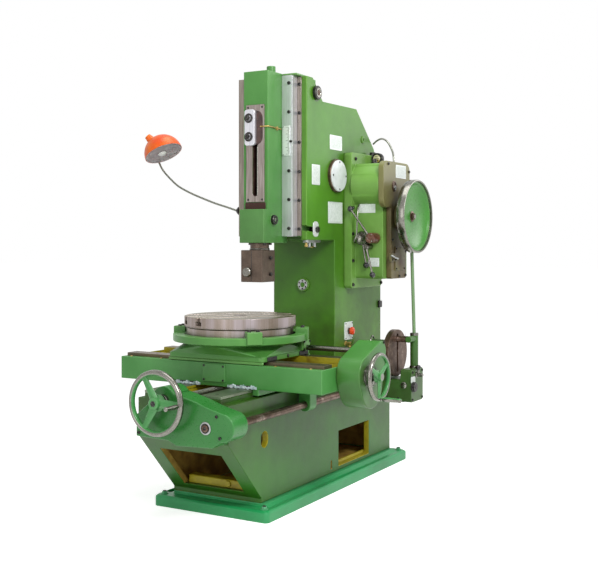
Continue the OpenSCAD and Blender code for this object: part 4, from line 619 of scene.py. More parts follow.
# oil sight: a blackened ring with a glass disc over dark oil, on the case top
sight_glass, tree = material("oil_sight_glass")
spot = node(tree, "ShaderNodeTexCoord").outputs["Object"]
level = node(tree, "ShaderNodeSeparateXYZ", links={0: spot})
oil = node(tree, "ShaderNodeMapRange", {"From Min": 1.594, "From Max": 1.600}, {"Value": level.outputs["Z"]})
tone = node(tree, "ShaderNodeValToRGB", {"ramp": [(0.0, linear("#9a7f3c")), (1.0, linear("#d8cfa8"))]},
            {"Fac": oil.outputs[0]})
lens = node(tree, "ShaderNodeBsdfPrincipled", {"Roughness": 0.06, "IOR": 1.5, "Coat Weight": 1.0},
            {"Base Color": tone.outputs[0]})
node(tree, "ShaderNodeOutputMaterial", links={"Surface": lens.outputs[0]})
glass = bmesh.new()
spun(glass, [(30, 0), (30, 26), (28, 29.8), (23, 29.8), (21.5, 25), (0, 25)], (250, 460.5, 1600), (0, -1, 0), 48, 1)
spun(glass, [(20, 24.8), (20, 26), (15, 27.6), (0, 28.4)], (250, 460.5, 1600), (0, -1, 0), 40, 0)
for k in range(3):
    slab(glass, (250, 432.6, 1590 + 10 * k), (26 - 6 * abs(k - 1), 2.6, 0.8), (0, -1, 0), (0, 0, 1), 1, 0.2, 1)
piece_of("oil_sight_lens", glass, "frame", "steel", sight_glass, black_oxide, nodes=("oil_sight",))

# filler plug, oil pipe arched over the case, breather on the round housing
steel_tube, tree = material("drawn_steel_tube")
spot = node(tree, "ShaderNodeTexCoord").outputs["Object"]
draw = node(tree, "ShaderNodeTexNoise", {"Scale": 90.0, "Detail": 4.0}, {"Vector": spot})
tone = node(tree, "ShaderNodeValToRGB", {"ramp": [(0.3, linear("#7b7c73")), (0.7, linear("#a5a69b"))]},
            {"Fac": draw.outputs["Fac"]})
metal = node(tree, "ShaderNodeBsdfPrincipled", {"Metallic": 1.0, "Roughness": 0.33}, {"Base Color": tone.outputs[0]})
node(tree, "ShaderNodeOutputMaterial", links={"Surface": metal.outputs[0]})
oil_pipes = bmesh.new()
pipe(oil_pipes, [(170, 560, 1690), (196, 552, 1706), (236, 530, 1712), (282, 500, 1690), (318, 480, 1640),
                 (330, 470, 1600), (332, 466, 1560)], 5, 12, 0, 8)
spun(oil_pipes, [(11, 0), (11, 14), (0, 14)], (332, 466, 1561), (0, 0, 1), 6, 1)
spun(oil_pipes, [(9, 0), (9, 10), (0, 10)], (258, 452, 1608), (0.3, 0, 1), 6, 1)
spun(oil_pipes, [(22, 0), (22, 4), (16, 6), (16, 18), (14, 20), (0, 20)], (205, 480, 1617.6), (0, 0, 1), 32, 2)
spun(oil_pipes, [(17, 0), (17, 5), (13, 7), (13, 20), (10, 23), (0, 23)], (300, 300, 1563), (0, 0, 1), 32, 2)
pipe(oil_pipes, [(230, 228, 1165), (232, 208, 1168), (240, 196, 1180), (252, 194, 1200), (254, 200, 1260),
                 (252, 214, 1330), (246, 236, 1352), (240, 247, 1356)], 4, 12, 0)
piece_of("oil_pipes", oil_pipes, "frame", "steel", steel_tube, brass, black_oxide)

# Bearing cover.
# A white-enamelled cap over the crankshaft's bearing, in the side of the arm,
# turned to a shallow dish and held by small bolts.
white_enamel, tree = material("white_stove_enamel")
spot = node(tree, "ShaderNodeTexCoord").outputs["Object"]
haze = node(tree, "ShaderNodeTexNoise", {"Scale": 22.0, "Detail": 5.0}, {"Vector": spot})
tone = node(tree, "ShaderNodeValToRGB", {"ramp": [(0.35, linear("#d3d8d8")), (0.6, linear("#e4e8ea"))]},
            {"Fac": haze.outputs["Fac"]})
peel = node(tree, "ShaderNodeTexNoise", {"Scale": 140.0}, {"Vector": spot})
skin = node(tree, "ShaderNodeBump", {"Strength": 0.1, "Distance": 0.002}, {"Height": peel.outputs["Fac"]})
paint = node(tree, "ShaderNodeBsdfPrincipled", {"Roughness": 0.28, "IOR": 1.5},
             {"Base Color": tone.outputs[0], "Normal": skin.outputs[0]})
node(tree, "ShaderNodeOutputMaterial", links={"Surface": paint.outputs[0]})
cap = bmesh.new()
spun(cap, [(81.8, 0), (81.8, 13), (80, 15), (74, 15)], (176, 118.5, 1495), (1, 0, 0), 96, 3)
spun(cap, [(77, 14), (77, 21.5), (76, 23), (74, 23.6), (0, 23.9)], (176, 118.5, 1495), (1, 0, 0), 96, 0)
for k in range(4):
    angle = math.radians(90 * k)
    spun(cap, [(5.4, 23.6), (5.4, 24), (2.4, 24), (2, 23.7), (0, 23.7)],
         (176, 118.5 + 67 * math.cos(angle), 1495 + 67 * math.sin(angle)), (1, 0, 0), 20, 2)
piece_of("bearing_cap", cap, "frame", "white_paint", white_enamel, steel_block, black_oxide, oil_steel,
         nodes=("bearing_cover",))

# Main wheel.
# Cast hand wheel that turns the crank by hand: dished green web, rim turned
# and polished bright, held on its hub by a hexagon nut and washer.
turned_steel, tree = material("turned_polished_steel")
spot = node(tree, "ShaderNodeTexCoord").outputs["Object"]
buff = node(tree, "ShaderNodeTexNoise", {"Scale": 190.0, "Detail": 4.0, "Roughness": 0.6}, {"Vector": spot})
tone = node(tree, "ShaderNodeValToRGB", {"ramp": [(0.28, linear("#66655e")), (0.72, linear("#96948c"))]},
            {"Fac": buff.outputs["Fac"]})
rough = node(tree, "ShaderNodeMapRange", {"To Min": 0.14, "To Max": 0.3}, {"Value": buff.outputs["Fac"]})
metal = node(tree, "ShaderNodeBsdfPrincipled", {"Metallic": 1.0},
             {"Base Color": tone.outputs[0], "Roughness": rough.outputs[0]})
node(tree, "ShaderNodeOutputMaterial", links={"Surface": metal.outputs[0]})
wheel_enamel = enamel("wheel_enamel_green", "#4e9a3c", "#428a32", "#7fb866", 0.26, 0.3)
wheel = bmesh.new()
at, way = (0, 387.5, 1297), (1, 0, 0)
spun(wheel, [(176, 461), (181, 462), (184, 467), (184, 500), (181.5, 504.6), (178, 505), (175, 503), (174, 496),
             (173, 484), (173, 470), (176, 461)], at, way, 128, 0)
spun(wheel, [(40.0, 374.4), (40.0, 455)], at, way, 64, 0)
bowl = [(40 + 124 * math.cos(math.radians(a)), 490 - 26 * math.sin(math.radians(a))) for a in range(0, 91, 10)]
spun(wheel, [(38, 454.2), (60, 454.2), (120, 462), (173.5, 470), (173.5, 493), (168, 493)] + bowl
     + [(32, 464.3), (31, 466.5), (29, 467.5),
             (0, 467.5)], at, way, 96, 1)
spun(wheel, [(27, 467), (27, 470), (25, 471), (0, 471)], at, way, 40, 2)
spun(wheel, [(19.5, 470.5), (19.5, 479), (17, 481), (13, 481)], at, way, 6, 2)
spun(wheel, [(12, 470), (12, 484), (10.5, 485.5), (0, 485.5)], at, way, 24, 0)
piece_of("crank_hand_wheel", wheel, "main_wheel", "green_paint", turned_steel, wheel_enamel, oil_steel,
         nodes=("main_wheel",))

# Levers.
# Forged steel levers pinned to round hubs on the case front, each with a
# black phenolic ball screwed on. The right hub is a brown moulded one.
phenolic, tree = material("black_phenolic")
spot = node(tree, "ShaderNodeTexCoord").outputs["Object"]
scuff = node(tree, "ShaderNodeTexNoise", {"Scale": 130.0, "Detail": 5.0}, {"Vector": spot})
tone = node(tree, "ShaderNodeValToRGB", {"ramp": [(0.4, linear("#161517")), (0.75, linear("#38363a"))]},
            {"Fac": scuff.outputs["Fac"]})
resin = node(tree, "ShaderNodeBsdfPrincipled", {"Roughness": 0.18, "IOR": 1.6}, {"Base Color": tone.outputs[0]})
node(tree, "ShaderNodeOutputMaterial", links={"Surface": resin.outputs[0]})
hub_brown, tree = material("brown_phenolic_hub")
spot = node(tree, "ShaderNodeTexCoord").outputs["Object"]
fill = node(tree, "ShaderNodeTexNoise", {"Scale": 60.0, "Detail": 4.0}, {"Vector": spot})
tone = node(tree, "ShaderNodeValToRGB", {"ramp": [(0.35, linear("#4a2a1e")), (0.7, linear("#7a4e3c"))]},
            {"Fac": fill.outputs["Fac"]})
resin = node(tree, "ShaderNodeBsdfPrincipled", {"Roughness": 0.34, "IOR": 1.55}, {"Base Color": tone.outputs[0]})
node(tree, "ShaderNodeOutputMaterial", links={"Surface": resin.outputs[0]})

for name, x, z, hub, angle, length, out, hub_steel in (
        ("long_lever", 334, 1188, 26, 127, 182, 70, 2),
        ("short_lever", 268, 1188, 36, -81, 136, 26, 0),
        ("middle_lever", 306, 1146, 14, -76, 143, 60, 0)):
    lever = bmesh.new()
    away = Vector((math.cos(math.radians(angle)), 0, math.sin(math.radians(angle))))
    middle = Vector((x, 246.5 - out + 8, z))
    spun(lever, [(hub, 1), (hub, out - 5), (hub - 3, out), (hub * 0.5, out), (hub * 0.42, out - 2), (0, out - 2)],
         (x, 246.5, z), (0, -1, 0), 48, hub_steel)
    spun(lever, [(hub * 0.5, -29), (hub * 0.5, 2)], (x, 246.5, z), (0, -1, 0), 24, 0)
    spun(lever, [(6, 0), (6, length * 0.3), (5, length * 0.6), (5, length - 16), (7, length - 15), (8, length - 12)],
         middle, away, 20, 0)
    ball = [(8, -12.6)] + [(15 * math.cos(math.radians(a)), 15 * math.sin(math.radians(a)))
                           for a in range(-50, 90, 10)] + [(0, 15)]
    spun(lever, ball, middle + away * length, away, 28, 1)
    for k in range(3 if hub > 20 else 0):
        turn = math.radians(120 * k + 60)
        bolt(lever, (x + hub * 0.7 * math.cos(turn), 246.9 - out, z + hub * 0.7 * math.sin(turn)), (0, -1, 0), 3, 1.6)
    slot_name = "black_plastic" if name == "long_lever" else "steel"
    piece_of(name + "_forged", lever, name, slot_name, turned_steel, phenolic, hub_brown, nodes=(name,))

# Feed drive.
# Box with the feed ratchet, a slotted crank disc in its gap, and a rod in a
# sleeve that comes down from the strap on the main shaft.
feed_enamel = enamel("machine_enamel_feed_box", "#467a30", "#3a6a28", "#7a9f5c", 0.36, 0.7, 0.3, 0.8)
casting("feed_box_casting", "feed_box", 3, "frame", "green_paint", feed_enamel)
casting("crank_disc_turned", "crank_disc", 1.5, "frame", "steel", oil_steel)
rod_enamel = enamel("machine_enamel_feed_rod", "#86a878", "#769868", "#b0c4a0", 0.34, 0.2)


def rod_paint(middle, facing):
    """0 green sleeve, 1 the pale rod above it, 2 the browned crank arm."""
    if middle.x < 440 and 620 < middle.z < 705:
        return 2
    return 1 if middle.z > 700 else 0


casting("feed_rod_forged", "feed_rod", 1.2, "frame", "green_paint", feed_enamel, rod_enamel, oil_steel,
        paint=rod_paint)
extras = bmesh.new()
spun(extras, [(26, 0), (26, 5), (24, 7), (24, 14), (22, 16), (8, 16), (7, 18), (0, 18)], (480, 372, 443),
     (1, 0, 0), 48, 0)
slab(extras, (479.7, 372, 480), (52, 30, 2), (1, 0, 0), (0, 0, 1), 3, 0.5, 3)
spun(extras, [(9, 0), (9, 36), (7.5, 38), (0, 38)], (479, 412, 500), (1, 0, 0), 24, 1)
spun(extras, [(14, 0), (14, 5), (12, 6.5), (9, 6.5)], (479.8, 412, 500), (1, 0, 0), 32, 1)
spun(extras, [(5, 0), (5, 22)], (492, 412, 504), (0, 0, 1), 16, 1)
spun(extras, [(5, 20), (11, 24), (13.5, 31), (13.5, 35), (10, 43), (4, 46), (0, 46)], (492, 412, 504), (0, 0, 1), 28, 2)
spun(extras, [(16, 0), (16, 6), (13, 8), (0, 8)], (440, 351, 452), (0, -1, 0), 32, 1)
for y in (364, 487):
    for z in (380, 516):
        bolt(extras, (479.8, y, z), (1, 0, 0), 6, 5, matter=0)
for x in (352, 410):
    bolt(extras, (x, 351, 384), (0, -1, 0), 6, 5, matter=0)
spun(extras, [(24, 0), (24, 10), (22, 12), (16, 12), (14, 10)], (455, 445.5, 529), (0, 0, 1), 40, 1)
spun(extras, [(21.5, 0), (21.5, 12), (19, 14), (9, 14)], (455, 445.5, 694), (0, 0, 1), 40, 1)
spun(extras, [(11, 0), (11, 12), (8, 14), (0, 14)], (447, 385.5, 678), (1, 0, 0), 6, 1)
pipe(extras, [(262, 380, 672), (262, 360, 690), (262, 340, 676), (262, 330, 640), (262, 330, 560), (250, 335, 520),
              (229, 340, 510)], 4, 12, 1)
spun(extras, [(17, 0), (17, 7), (14, 9), (0, 9)], (405, 420, 365.6), (0, 0, -1), 6, 0)
piece_of("feed_drive_fittings", extras, "frame", "steel", black_oxide, turned_steel, phenolic, plate_face)

# Stop button.
# Red mushroom button, moulded, on a pale plate screwed to the column side.
red_plastic, tree = material("red_moulded_plastic")
spot = node(tree, "ShaderNodeTexCoord").outputs["Object"]
scuff = node(tree, "ShaderNodeTexNoise", {"Scale": 90.0, "Detail": 4.0}, {"Vector": spot})
tone = node(tree, "ShaderNodeValToRGB", {"ramp": [(0.35, linear("#d8330c")), (0.7, linear("#ee5a24"))]},
            {"Fac": scuff.outputs["Fac"]})
resin = node(tree, "ShaderNodeBsdfPrincipled", {"Roughness": 0.25, "IOR": 1.49}, {"Base Color": tone.outputs[0]})
node(tree, "ShaderNodeOutputMaterial", links={"Surface": resin.outputs[0]})
button = bmesh.new()
slab(button, (176, 253.5, 721), (86, 90, 6), (1, 0, 0), (0, 0, 1), 7, 1.5, 1)
for sy in (-1, 1):
    for sz in (-1, 1):
        bolt(button, (181.8, 253.5 + 35 * sy, 721 + 37 * sz), (1, 0, 0), 3.5, 2, matter=2)
spun(button, [(18, 6), (18, 10), (16, 11), (11, 12), (11, 18)], (176, 253.5, 721), (1, 0, 0), 40, 3)
spun(button, [(10, 17), (19, 18), (20, 20), (20, 26), (18.5, 30), (14, 32.6), (7, 33.8), (0, 34)],
     (176, 253.5, 721), (1, 0, 0), 40, 0)
piece_of("stop_mushroom", button, "frame", "red_plastic", red_plastic, plate_face, black_oxide, turned_steel,
         nodes=("stop_button",))

# Guide.
# Iron guide that swings between the arm's cheeks. Ground steel gibs and a
# retaining strip, screwed to its face, hold the ram's flange in its seat.
guide_enamel = enamel("machine_enamel_guide", "#5e9a48", "#528c3e", "#8cb474")
casting("guide_casting", "guide_head", 2, "guide", "green_paint", guide_enamel)

# ground lengthwise on a surface grinder: fine upright scratches, drawn 4 mm wide
ground_steel, tree = material("ground_steel")
spot = node(tree, "ShaderNodeTexCoord").outputs["Object"]
long_way = node(tree, "ShaderNodeMapping", {"Scale": (1.0, 1.0, 0.02)}, {"Vector": spot})
lines = node(tree, "ShaderNodeTexNoise", {"Scale": 260.0, "Detail": 4.0, "Roughness": 0.7},
             {"Vector": long_way.outputs[0]})
cloud = node(tree, "ShaderNodeTexNoise", {"Scale": 5.0, "Detail": 3.0}, {"Vector": spot})
tone = node(tree, "ShaderNodeValToRGB", {"ramp": [(0.3, linear("#cbcad2")), (0.7, linear("#ecebf2"))]},
            {"Fac": lines.outputs["Fac"]})
film = node(tree, "ShaderNodeMath", {"operation": "MULTIPLY", 1: 0.22}, {0: cloud.outputs["Fac"]})
oily = node(tree, "ShaderNodeMix", {"data_type": "RGBA", 7: linear("#a3aa9c")}, {0: film.outputs[0], 6: tone.outputs[0]})
rough = node(tree, "ShaderNodeMapRange", {"To Min": 0.24, "To Max": 0.44}, {"Value": lines.outputs["Fac"]})
scratch = node(tree, "ShaderNodeBump", {"Strength": 0.08, "Distance": 0.001}, {"Height": lines.outputs["Fac"]})
metal = node(tree, "ShaderNodeBsdfPrincipled", {"Metallic": 0.65},
             {"Base Color": oily.outputs[2], "Roughness": rough.outputs[0], "Normal": scratch.outputs[0]})
node(tree, "ShaderNodeOutputMaterial", links={"Surface": metal.outputs[0]})

# the guide's bare cast faces beside the gibs: planed, brown with old oil
planed_iron, tree = material("planed_oily_iron")
spot = node(tree, "ShaderNodeTexCoord").outputs["Object"]
long_way = node(tree, "ShaderNodeMapping", {"Scale": (1.0, 1.0, 0.05)}, {"Vector": spot})
cuts = node(tree, "ShaderNodeTexNoise", {"Scale": 140.0, "Detail": 5.0}, {"Vector": long_way.outputs[0]})
tone = node(tree, "ShaderNodeValToRGB", {"ramp": [(0.3, linear("#736a60")), (0.7, linear("#9f968c"))]},
            {"Fac": cuts.outputs["Fac"]})
metal = node(tree, "ShaderNodeBsdfPrincipled", {"Metallic": 0.85, "Roughness": 0.42}, {"Base Color": tone.outputs[0]})
node(tree, "ShaderNodeOutputMaterial", links={"Surface": metal.outputs[0]})


def gib_paint(middle, facing):
    """0 ground steel on the right gib, 1 planed and brown on the left one."""
    return 1 if middle.x < 0 else 0


casting("gib_strips", "gib_plates", 1.5, "guide", "steel", ground_steel, planed_iron, cuts=2, paint=gib_paint)
casting("guide_cap_strips", "guide_caps", 1.2, "guide", "green_paint", guide_enamel, cuts=2)
casting("tilt_pivot_pin", "tilt_pivot", 3, "guide", "steel", black_oxide)
casting("tilt_clamp_bolts", "tilt_clamp", 1.2, "guide", "oiled_iron", black_oxide, cuts=2)

strips = bmesh.new()
slab(strips, (134.6, -167.2, 1572), (22.0, 748, 2.6), (0, -1, 0), (0, 0, 1), 2, 0.6, 0)
slab(strips, (-134.6, -167.2, 1572), (22.0, 748, 2.6), (0, -1, 0), (0, 0, 1), 2, 0.6, 0)
for z in (1232, 1366.5, 1501, 1639, 1777, 1912):
    bolt(strips, (106 if not 1560 < z < 1720 else 117, -215.3, z), (0, -1, 0), 6.2 if 1560 < z < 1720 else 8, 6, matter=1)
    bolt(strips, (-96, -215.3, z), (0, -1, 0), 8, 6, matter=1)
    bolt(strips, (134.6, -169.6, z - 2), (0, -1, 0), 8, 4.5, matter=1)
for side in (-1, 1):
    spun(strips, [(25, -0.3), (25, 1.4), (23, 2.4), (18, 2.4), (16.5, 0.8), (0, 0.8)], (side * 192, -83.5, 1878),
         (side, 0, 0), 48, 2)
    spun(strips, [(14, 0.6), (14, 1.6), (12.5, 2.4), (8.4, 2.4), (8, 1.2), (0, 1.2)], (side * 192, -83.5, 1878),
         (side, 0, 0), 32, 3)
    slab(strips, (side * 176.3, -86, 1230), (54, 72, 2.4), (side, 0, 0), (0, 0, 1), 20, 0.8, 4)
piece_of("gib_screws", strips, "guide", "oiled_iron", planed_iron, black_oxide, turned_steel, oil_steel, plate_metal)

# stroke scale: an engraved steel strip, its divisions bare of figures
casting("stroke_scale_strip", "scale_plate", 0.6, "guide", "steel", plate_metal, cuts=1)
scale_marks = bmesh.new()
for k in range(25):
    long_mark = 20 if k % 6 == 0 else (14 if k % 3 == 0 else 9)
    slab(scale_marks, (110.3 - long_mark / 2, -219.45, 1580 + 5.2 * k), (long_mark, 1.3, 0.3), (0, -1, 0), (0, 0, 1),
         0.4, 0.1, 0)
for z in (1577, 1708):
    spun(scale_marks, [(3, 0), (3, 1.4), (2, 2), (0, 2)], (78, -219.4, z), (0, -1, 0), 16, 1)
piece_of("stroke_scale_marks", scale_marks, "guide", "oiled_iron", black_oxide, steel_block)

# Ram.
# Box casting that slides in the guide. A steel plate with a T-slot and a
# clamp block on its front set the stroke's place; felt wipes its lower end.
ram_enamel = enamel("machine_enamel_ram", "#4f9142", "#448537", "#80ae6c", shade_strength=0.45, low=1.1, high=1.5)
# painted shade in the ram's slot and on a sheet round it, dark brown like oil
slot_dark, tree = material("shadowed_slot_oil")
spot = node(tree, "ShaderNodeTexCoord").outputs["Object"]
oil = node(tree, "ShaderNodeTexNoise", {"Scale": 40.0, "Detail": 5.0}, {"Vector": spot})
tone = node(tree, "ShaderNodeValToRGB", {"ramp": [(0.35, linear("#2e1c18")), (0.7, linear("#5a3f39"))]},
            {"Fac": oil.outputs["Fac"]})
skin = node(tree, "ShaderNodeBsdfPrincipled", {"Roughness": 0.45, "IOR": 1.5}, {"Base Color": tone.outputs[0]})
node(tree, "ShaderNodeOutputMaterial", links={"Surface": skin.outputs[0]})


def ram_paint(middle, facing):
    """0 enamel, 1 the adjusting slot, dark with painted shade and oil, 2 the ground flange and flanks."""
    if abs(middle.x) < 16 and -339 < middle.y < -260 and 1379 < middle.z < 1777:
        return 1
    if middle.y > -168:
        return 2
    return 0


casting("ram_casting", "ram", 3, "ram", "green_paint", ram_enamel, slot_dark, ground_steel, paint=ram_paint)

# milled steel plate, its upright cutter marks dulled by oil
milled_plate, tree = material("milled_slot_plate_steel")
spot = node(tree, "ShaderNodeTexCoord").outputs["Object"]
long_way = node(tree, "ShaderNodeMapping", {"Scale": (1.0, 1.0, 0.06)}, {"Vector": spot})
marks = node(tree, "ShaderNodeTexNoise", {"Scale": 170.0, "Detail": 4.0}, {"Vector": long_way.outputs[0]})
tone = node(tree, "ShaderNodeValToRGB", {"ramp": [(0.3, linear("#80766f")), (0.7, linear("#a79c97"))]},
            {"Fac": marks.outputs["Fac"]})
metal = node(tree, "ShaderNodeBsdfPrincipled", {"Metallic": 0.8, "Roughness": 0.4}, {"Base Color": tone.outputs[0]})
node(tree, "ShaderNodeOutputMaterial", links={"Surface": metal.outputs[0]})
casting("ram_slot_plate", "slot_plate", 1.2, "ram", "steel", milled_plate, cuts=2)
casting("ram_clamp_block", "ram_clamp", 2.5, "ram", "steel", ground_steel)
casting("adjusting_boss", "ram_screw", 3, "ram", "green_paint", ram_enamel)

felt, tree = material("red_wiper_felt")
spot = node(tree, "ShaderNodeTexCoord").outputs["Object"]
nap = node(tree, "ShaderNodeTexNoise", {"Scale": 300.0, "Detail": 4.0}, {"Vector": spot})
tone = node(tree, "ShaderNodeValToRGB", {"ramp": [(0.3, linear("#2e140e")), (0.7, linear("#4a2317"))]},
            {"Fac": nap.outputs["Fac"]})
fuzz = node(tree, "ShaderNodeBump", {"Strength": 0.5, "Distance": 0.002}, {"Height": nap.outputs["Fac"]})
wool = node(tree, "ShaderNodeBsdfPrincipled", {"Roughness": 0.95, "Sheen Weight": 0.3},
            {"Base Color": tone.outputs[0], "Normal": fuzz.outputs[0]})
node(tree, "ShaderNodeOutputMaterial", links={"Surface": wool.outputs[0]})

trim = bmesh.new()
slab(trim, (0, -339.3, 1335), (108, 31, 5), (0, -1, 0), (0, 0, 1), 1.5, 1, 0)
# the clamp block's seat round the slot: a thin dark sheet of painted shade for the recess, in the brown of oil
slab(trim, (6, -344.0, 1696), (72, 158, 0.6), (0, -1, 0), (0, 0, 1), 35, 0.3, 4)
spun(trim, [(9, 0)] + [(9 if k % 2 else 7.4, 3 + 6 * k) for k in range(65)] + [(9, 395), (0, 395)],
     (0, -318, 1380.2), (0, 0, 1), 20, 1)
slab(trim, (0, -300, 1660), (30.6, 60, 30), (0, -1, 0), (0, 0, 1), 2, 1, 1)
for side in (-1, 1):
    for z in (1364, 1790):
        bolt(trim, (side * 38, -344.3, z), (0, -1, 0), 5.5, 1.2, matter=2)
for z in (1653.5, 1739.5):
    spun(trim, [(22, 0), (22, 2.4), (20, 3)], (-24, -362.3, z), (0, -1, 0), 36, 2)
    spun(trim, [(9, 0), (9, 16), (7.5, 17.5), (0, 17.5)], (-24, -362.3, z), (0, -1, 0), 20, 2)
    spun(trim, [(14.6, 2.8), (14.6, 12.2), (13, 13.4), (9, 13.4)], (-24, -362.3, z), (0, -1, 0), 6, 2)
spun(trim, [(11, 0), (11, 10), (9, 12), (0, 12)], (30, -251.5, 1977.5), (0, 0, 1), 4, 1)
spun(trim, [(27, 0), (27, 2), (25, 3), (22, 3)], (65.8, -296, 1271), (1, 0, 0), 40, 5)
spun(trim, [(22, 2), (22, 15), (20, 17), (12, 17), (11, 14), (0, 14)], (65.8, -296, 1271), (1, 0, 0), 40, 2)
for k in range(24):
    angle = math.radians(15 * k)
    slab(trim, (74.5, -296 + 21.8 * math.cos(angle), 1271 + 21.8 * math.sin(angle)), (2.6, 11, 0.9),
         (0, math.cos(angle), math.sin(angle)), (1, 0, 0), 0.6, 0.3, 2)
spun(trim, [(8, 13.8), (8, 15), (7, 15.6), (0, 15.6)], (65.8, -296, 1271), (1, 0, 0), 6, 1)
# brass pointer bent round the ram's corner to the stroke scale
pipe(trim, [(30, -346.4, 1700), (52, -346.4, 1700), (66, -345, 1700), (70.5, -339, 1700), (71, -320, 1699.6),
            (71, -262, 1697), (71, -232, 1696)], 3, 10, 3)
spun(trim, [(9, 0), (9, 5), (7, 7), (0, 7)], (65.8, -262, 1697), (1, 0, 0), 24, 3)
piece_of("ram_fittings", trim, "ram", "steel", felt, turned_steel, black_oxide, brass, slot_dark, ram_enamel)

# Tool head.
# Iron tool holder on a round neck under the ram: bare, planed and browned by
# oil. A square-headed screw in front pinches the shank of the slotting bar.
tool_iron, tree = material("browned_tool_iron")
spot = node(tree, "ShaderNodeTexCoord").outputs["Object"]
across = node(tree, "ShaderNodeMapping", {"Scale": (1.0, 1.0, 6.0)}, {"Vector": spot})
cuts = node(tree, "ShaderNodeTexNoise", {"Scale": 70.0, "Detail": 5.0}, {"Vector": across.outputs[0]})
cloud = node(tree, "ShaderNodeTexNoise", {"Scale": 18.0, "Detail": 4.0}, {"Vector": spot})
tone = node(tree, "ShaderNodeValToRGB", {"ramp": [(0.3, linear("#3b2d24")), (0.72, linear("#5f4e41"))]},
            {"Fac": cloud.outputs["Fac"]})
light = node(tree, "ShaderNodeMath", {"operation": "MULTIPLY", 1: 0.35}, {0: cuts.outputs["Fac"]})
mixed = node(tree, "ShaderNodeMix", {"data_type": "RGBA", 7: linear("#94867a")}, {0: light.outputs[0], 6: tone.outputs[0]})
metal = node(tree, "ShaderNodeBsdfPrincipled", {"Metallic": 0.7, "Roughness": 0.45}, {"Base Color": mixed.outputs[2]})
node(tree, "ShaderNodeOutputMaterial", links={"Surface": metal.outputs[0]})
casting("tool_holder", "tool_head", 2.5, "ram", "oiled_iron", tool_iron)
clamps = bmesh.new()
spun(clamps, [(9, 0), (9, 8), (7.5, 10), (0, 10)], (56.8, -305, 1095), (1, 0, 0), 6, 0)
spun(clamps, [(9, 0), (9, 8), (7.5, 10), (0, 10)], (56.8, -305, 1020), (1, 0, 0), 6, 0)
slab(clamps, (0, -376.3, 1057), (3, 140, 0.4), (0, -1, 0), (0, 0, 1), 0.8, 0.1, 0)
spun(clamps, [(21, 0), (22, 1.5), (22, 11), (19, 15), (6, 16.5), (0, 16.5)], (-20, -376.3, 1030), (0, -1, 0), 40, 1)
spun(clamps, [(46, 0), (47, 2), (47, 7), (45, 9), (38, 9)], (0, -305, 1131), (0, 0, 1), 56, 1)
for k in range(4):
    angle = math.radians(45 + 90 * k)
    spun(clamps, [(9, 0), (9, 10), (0, 10)], (56 * math.cos(angle), -300 + 34 * math.sin(angle), 1154.5), (0, 0, 1), 6, 0)
piece_of("tool_clamp_screws", clamps, "ram", "oiled_iron", black_oxide, turned_steel)

# Lamp.
# Work light: a spun steel dome, orange outside and white inside, on a steel
# gooseneck wound from wire that comes from the guide's left side.
gooseneck, tree = material("wound_gooseneck_steel")
spot = node(tree, "ShaderNodeTexCoord").outputs["Object"]
# the winding's pitch is 2.5 mm in life and is drawn 8 mm so that it shows
turns = node(tree, "ShaderNodeTexWave", {"bands_direction": "X", "Scale": 38.0, "Distortion": 0.4}, {"Vector": spot})
tone = node(tree, "ShaderNodeValToRGB", {"ramp": [(0.2, linear("#55574f")), (0.8, linear("#8f9186"))]},
            {"Fac": turns.outputs["Fac"]})
rings = node(tree, "ShaderNodeBump", {"Strength": 0.6, "Distance": 0.001}, {"Height": turns.outputs["Fac"]})
metal = node(tree, "ShaderNodeBsdfPrincipled", {"Metallic": 1.0, "Roughness": 0.32},
             {"Base Color": tone.outputs[0], "Normal": rings.outputs[0]})
node(tree, "ShaderNodeOutputMaterial", links={"Surface": metal.outputs[0]})
shade_at = Vector((-563, -299.5, 1606))
holder_way = Vector((-0.594, -0.341, 0.728)).normalized()
behind = Vector((-0.498, 0.867, 0))
neck = bmesh.new()
bends = ((3.27, 1.02, -2.82), (2.58, 1.01, -2.62), (1.88, 1.01, -2.38), (1.18, 1.01, -2.12), (0.61, 0.99, -1.87),
         (0.14, 0.99, -1.62), (-0.25, 0.98, -1.31), (-0.62, 0.98, -0.98), (-0.87, 0.97, -0.69), (-1.03, 0.96, -0.4),
         (-1.135, 0.84, -0.02), (-1.135, 0.57, 0.38))
pipe(neck, [(-191, -202.5, 1319)] + [tuple(shade_at + 95 * Vector(p)) for p in bends]
     + [tuple(shade_at + 104 * holder_way + 23.8 * behind)], 4.9, 12, 0, 5)
spun(neck, [(19.8, 0), (19.8, 7), (18, 9), (14, 11), (12, 15.8), (0, 15.8)], (-175.4, -202.5, 1319), (-1, 0, 0), 32, 1)
piece_of("lamp_gooseneck", neck, "guide", "steel", gooseneck, black_oxide, nodes=("lamp_tube",))

lamp_enamel, tree = material("orange_stove_enamel")
spot = node(tree, "ShaderNodeTexCoord").outputs["Object"]
cloud = node(tree, "ShaderNodeTexNoise", {"Scale": 16.0, "Detail": 3.0}, {"Vector": spot})
tone = node(tree, "ShaderNodeValToRGB", {"ramp": [(0.35, linear("#e64a00")), (0.68, linear("#f07400"))]},
            {"Fac": cloud.outputs["Fac"]})
peel = node(tree, "ShaderNodeTexNoise", {"Scale": 240.0}, {"Vector": spot})
skin = node(tree, "ShaderNodeBump", {"Strength": 0.06, "Distance": 0.001}, {"Height": peel.outputs["Fac"]})
paint = node(tree, "ShaderNodeBsdfPrincipled", {"Roughness": 0.36, "IOR": 1.5},
             {"Base Color": tone.outputs[0], "Normal": skin.outputs[0]})
node(tree, "ShaderNodeOutputMaterial", links={"Surface": paint.outputs[0]})
reflector, tree = material("reflector_enamel")
spot = node(tree, "ShaderNodeTexCoord").outputs["Object"]
dust = node(tree, "ShaderNodeTexNoise", {"Scale": 34.0, "Detail": 5.0}, {"Vector": spot})
tone = node(tree, "ShaderNodeValToRGB", {"ramp": [(0.35, linear("#dcd8e0")), (0.7, linear("#f0edf4"))]},
            {"Fac": dust.outputs["Fac"]})
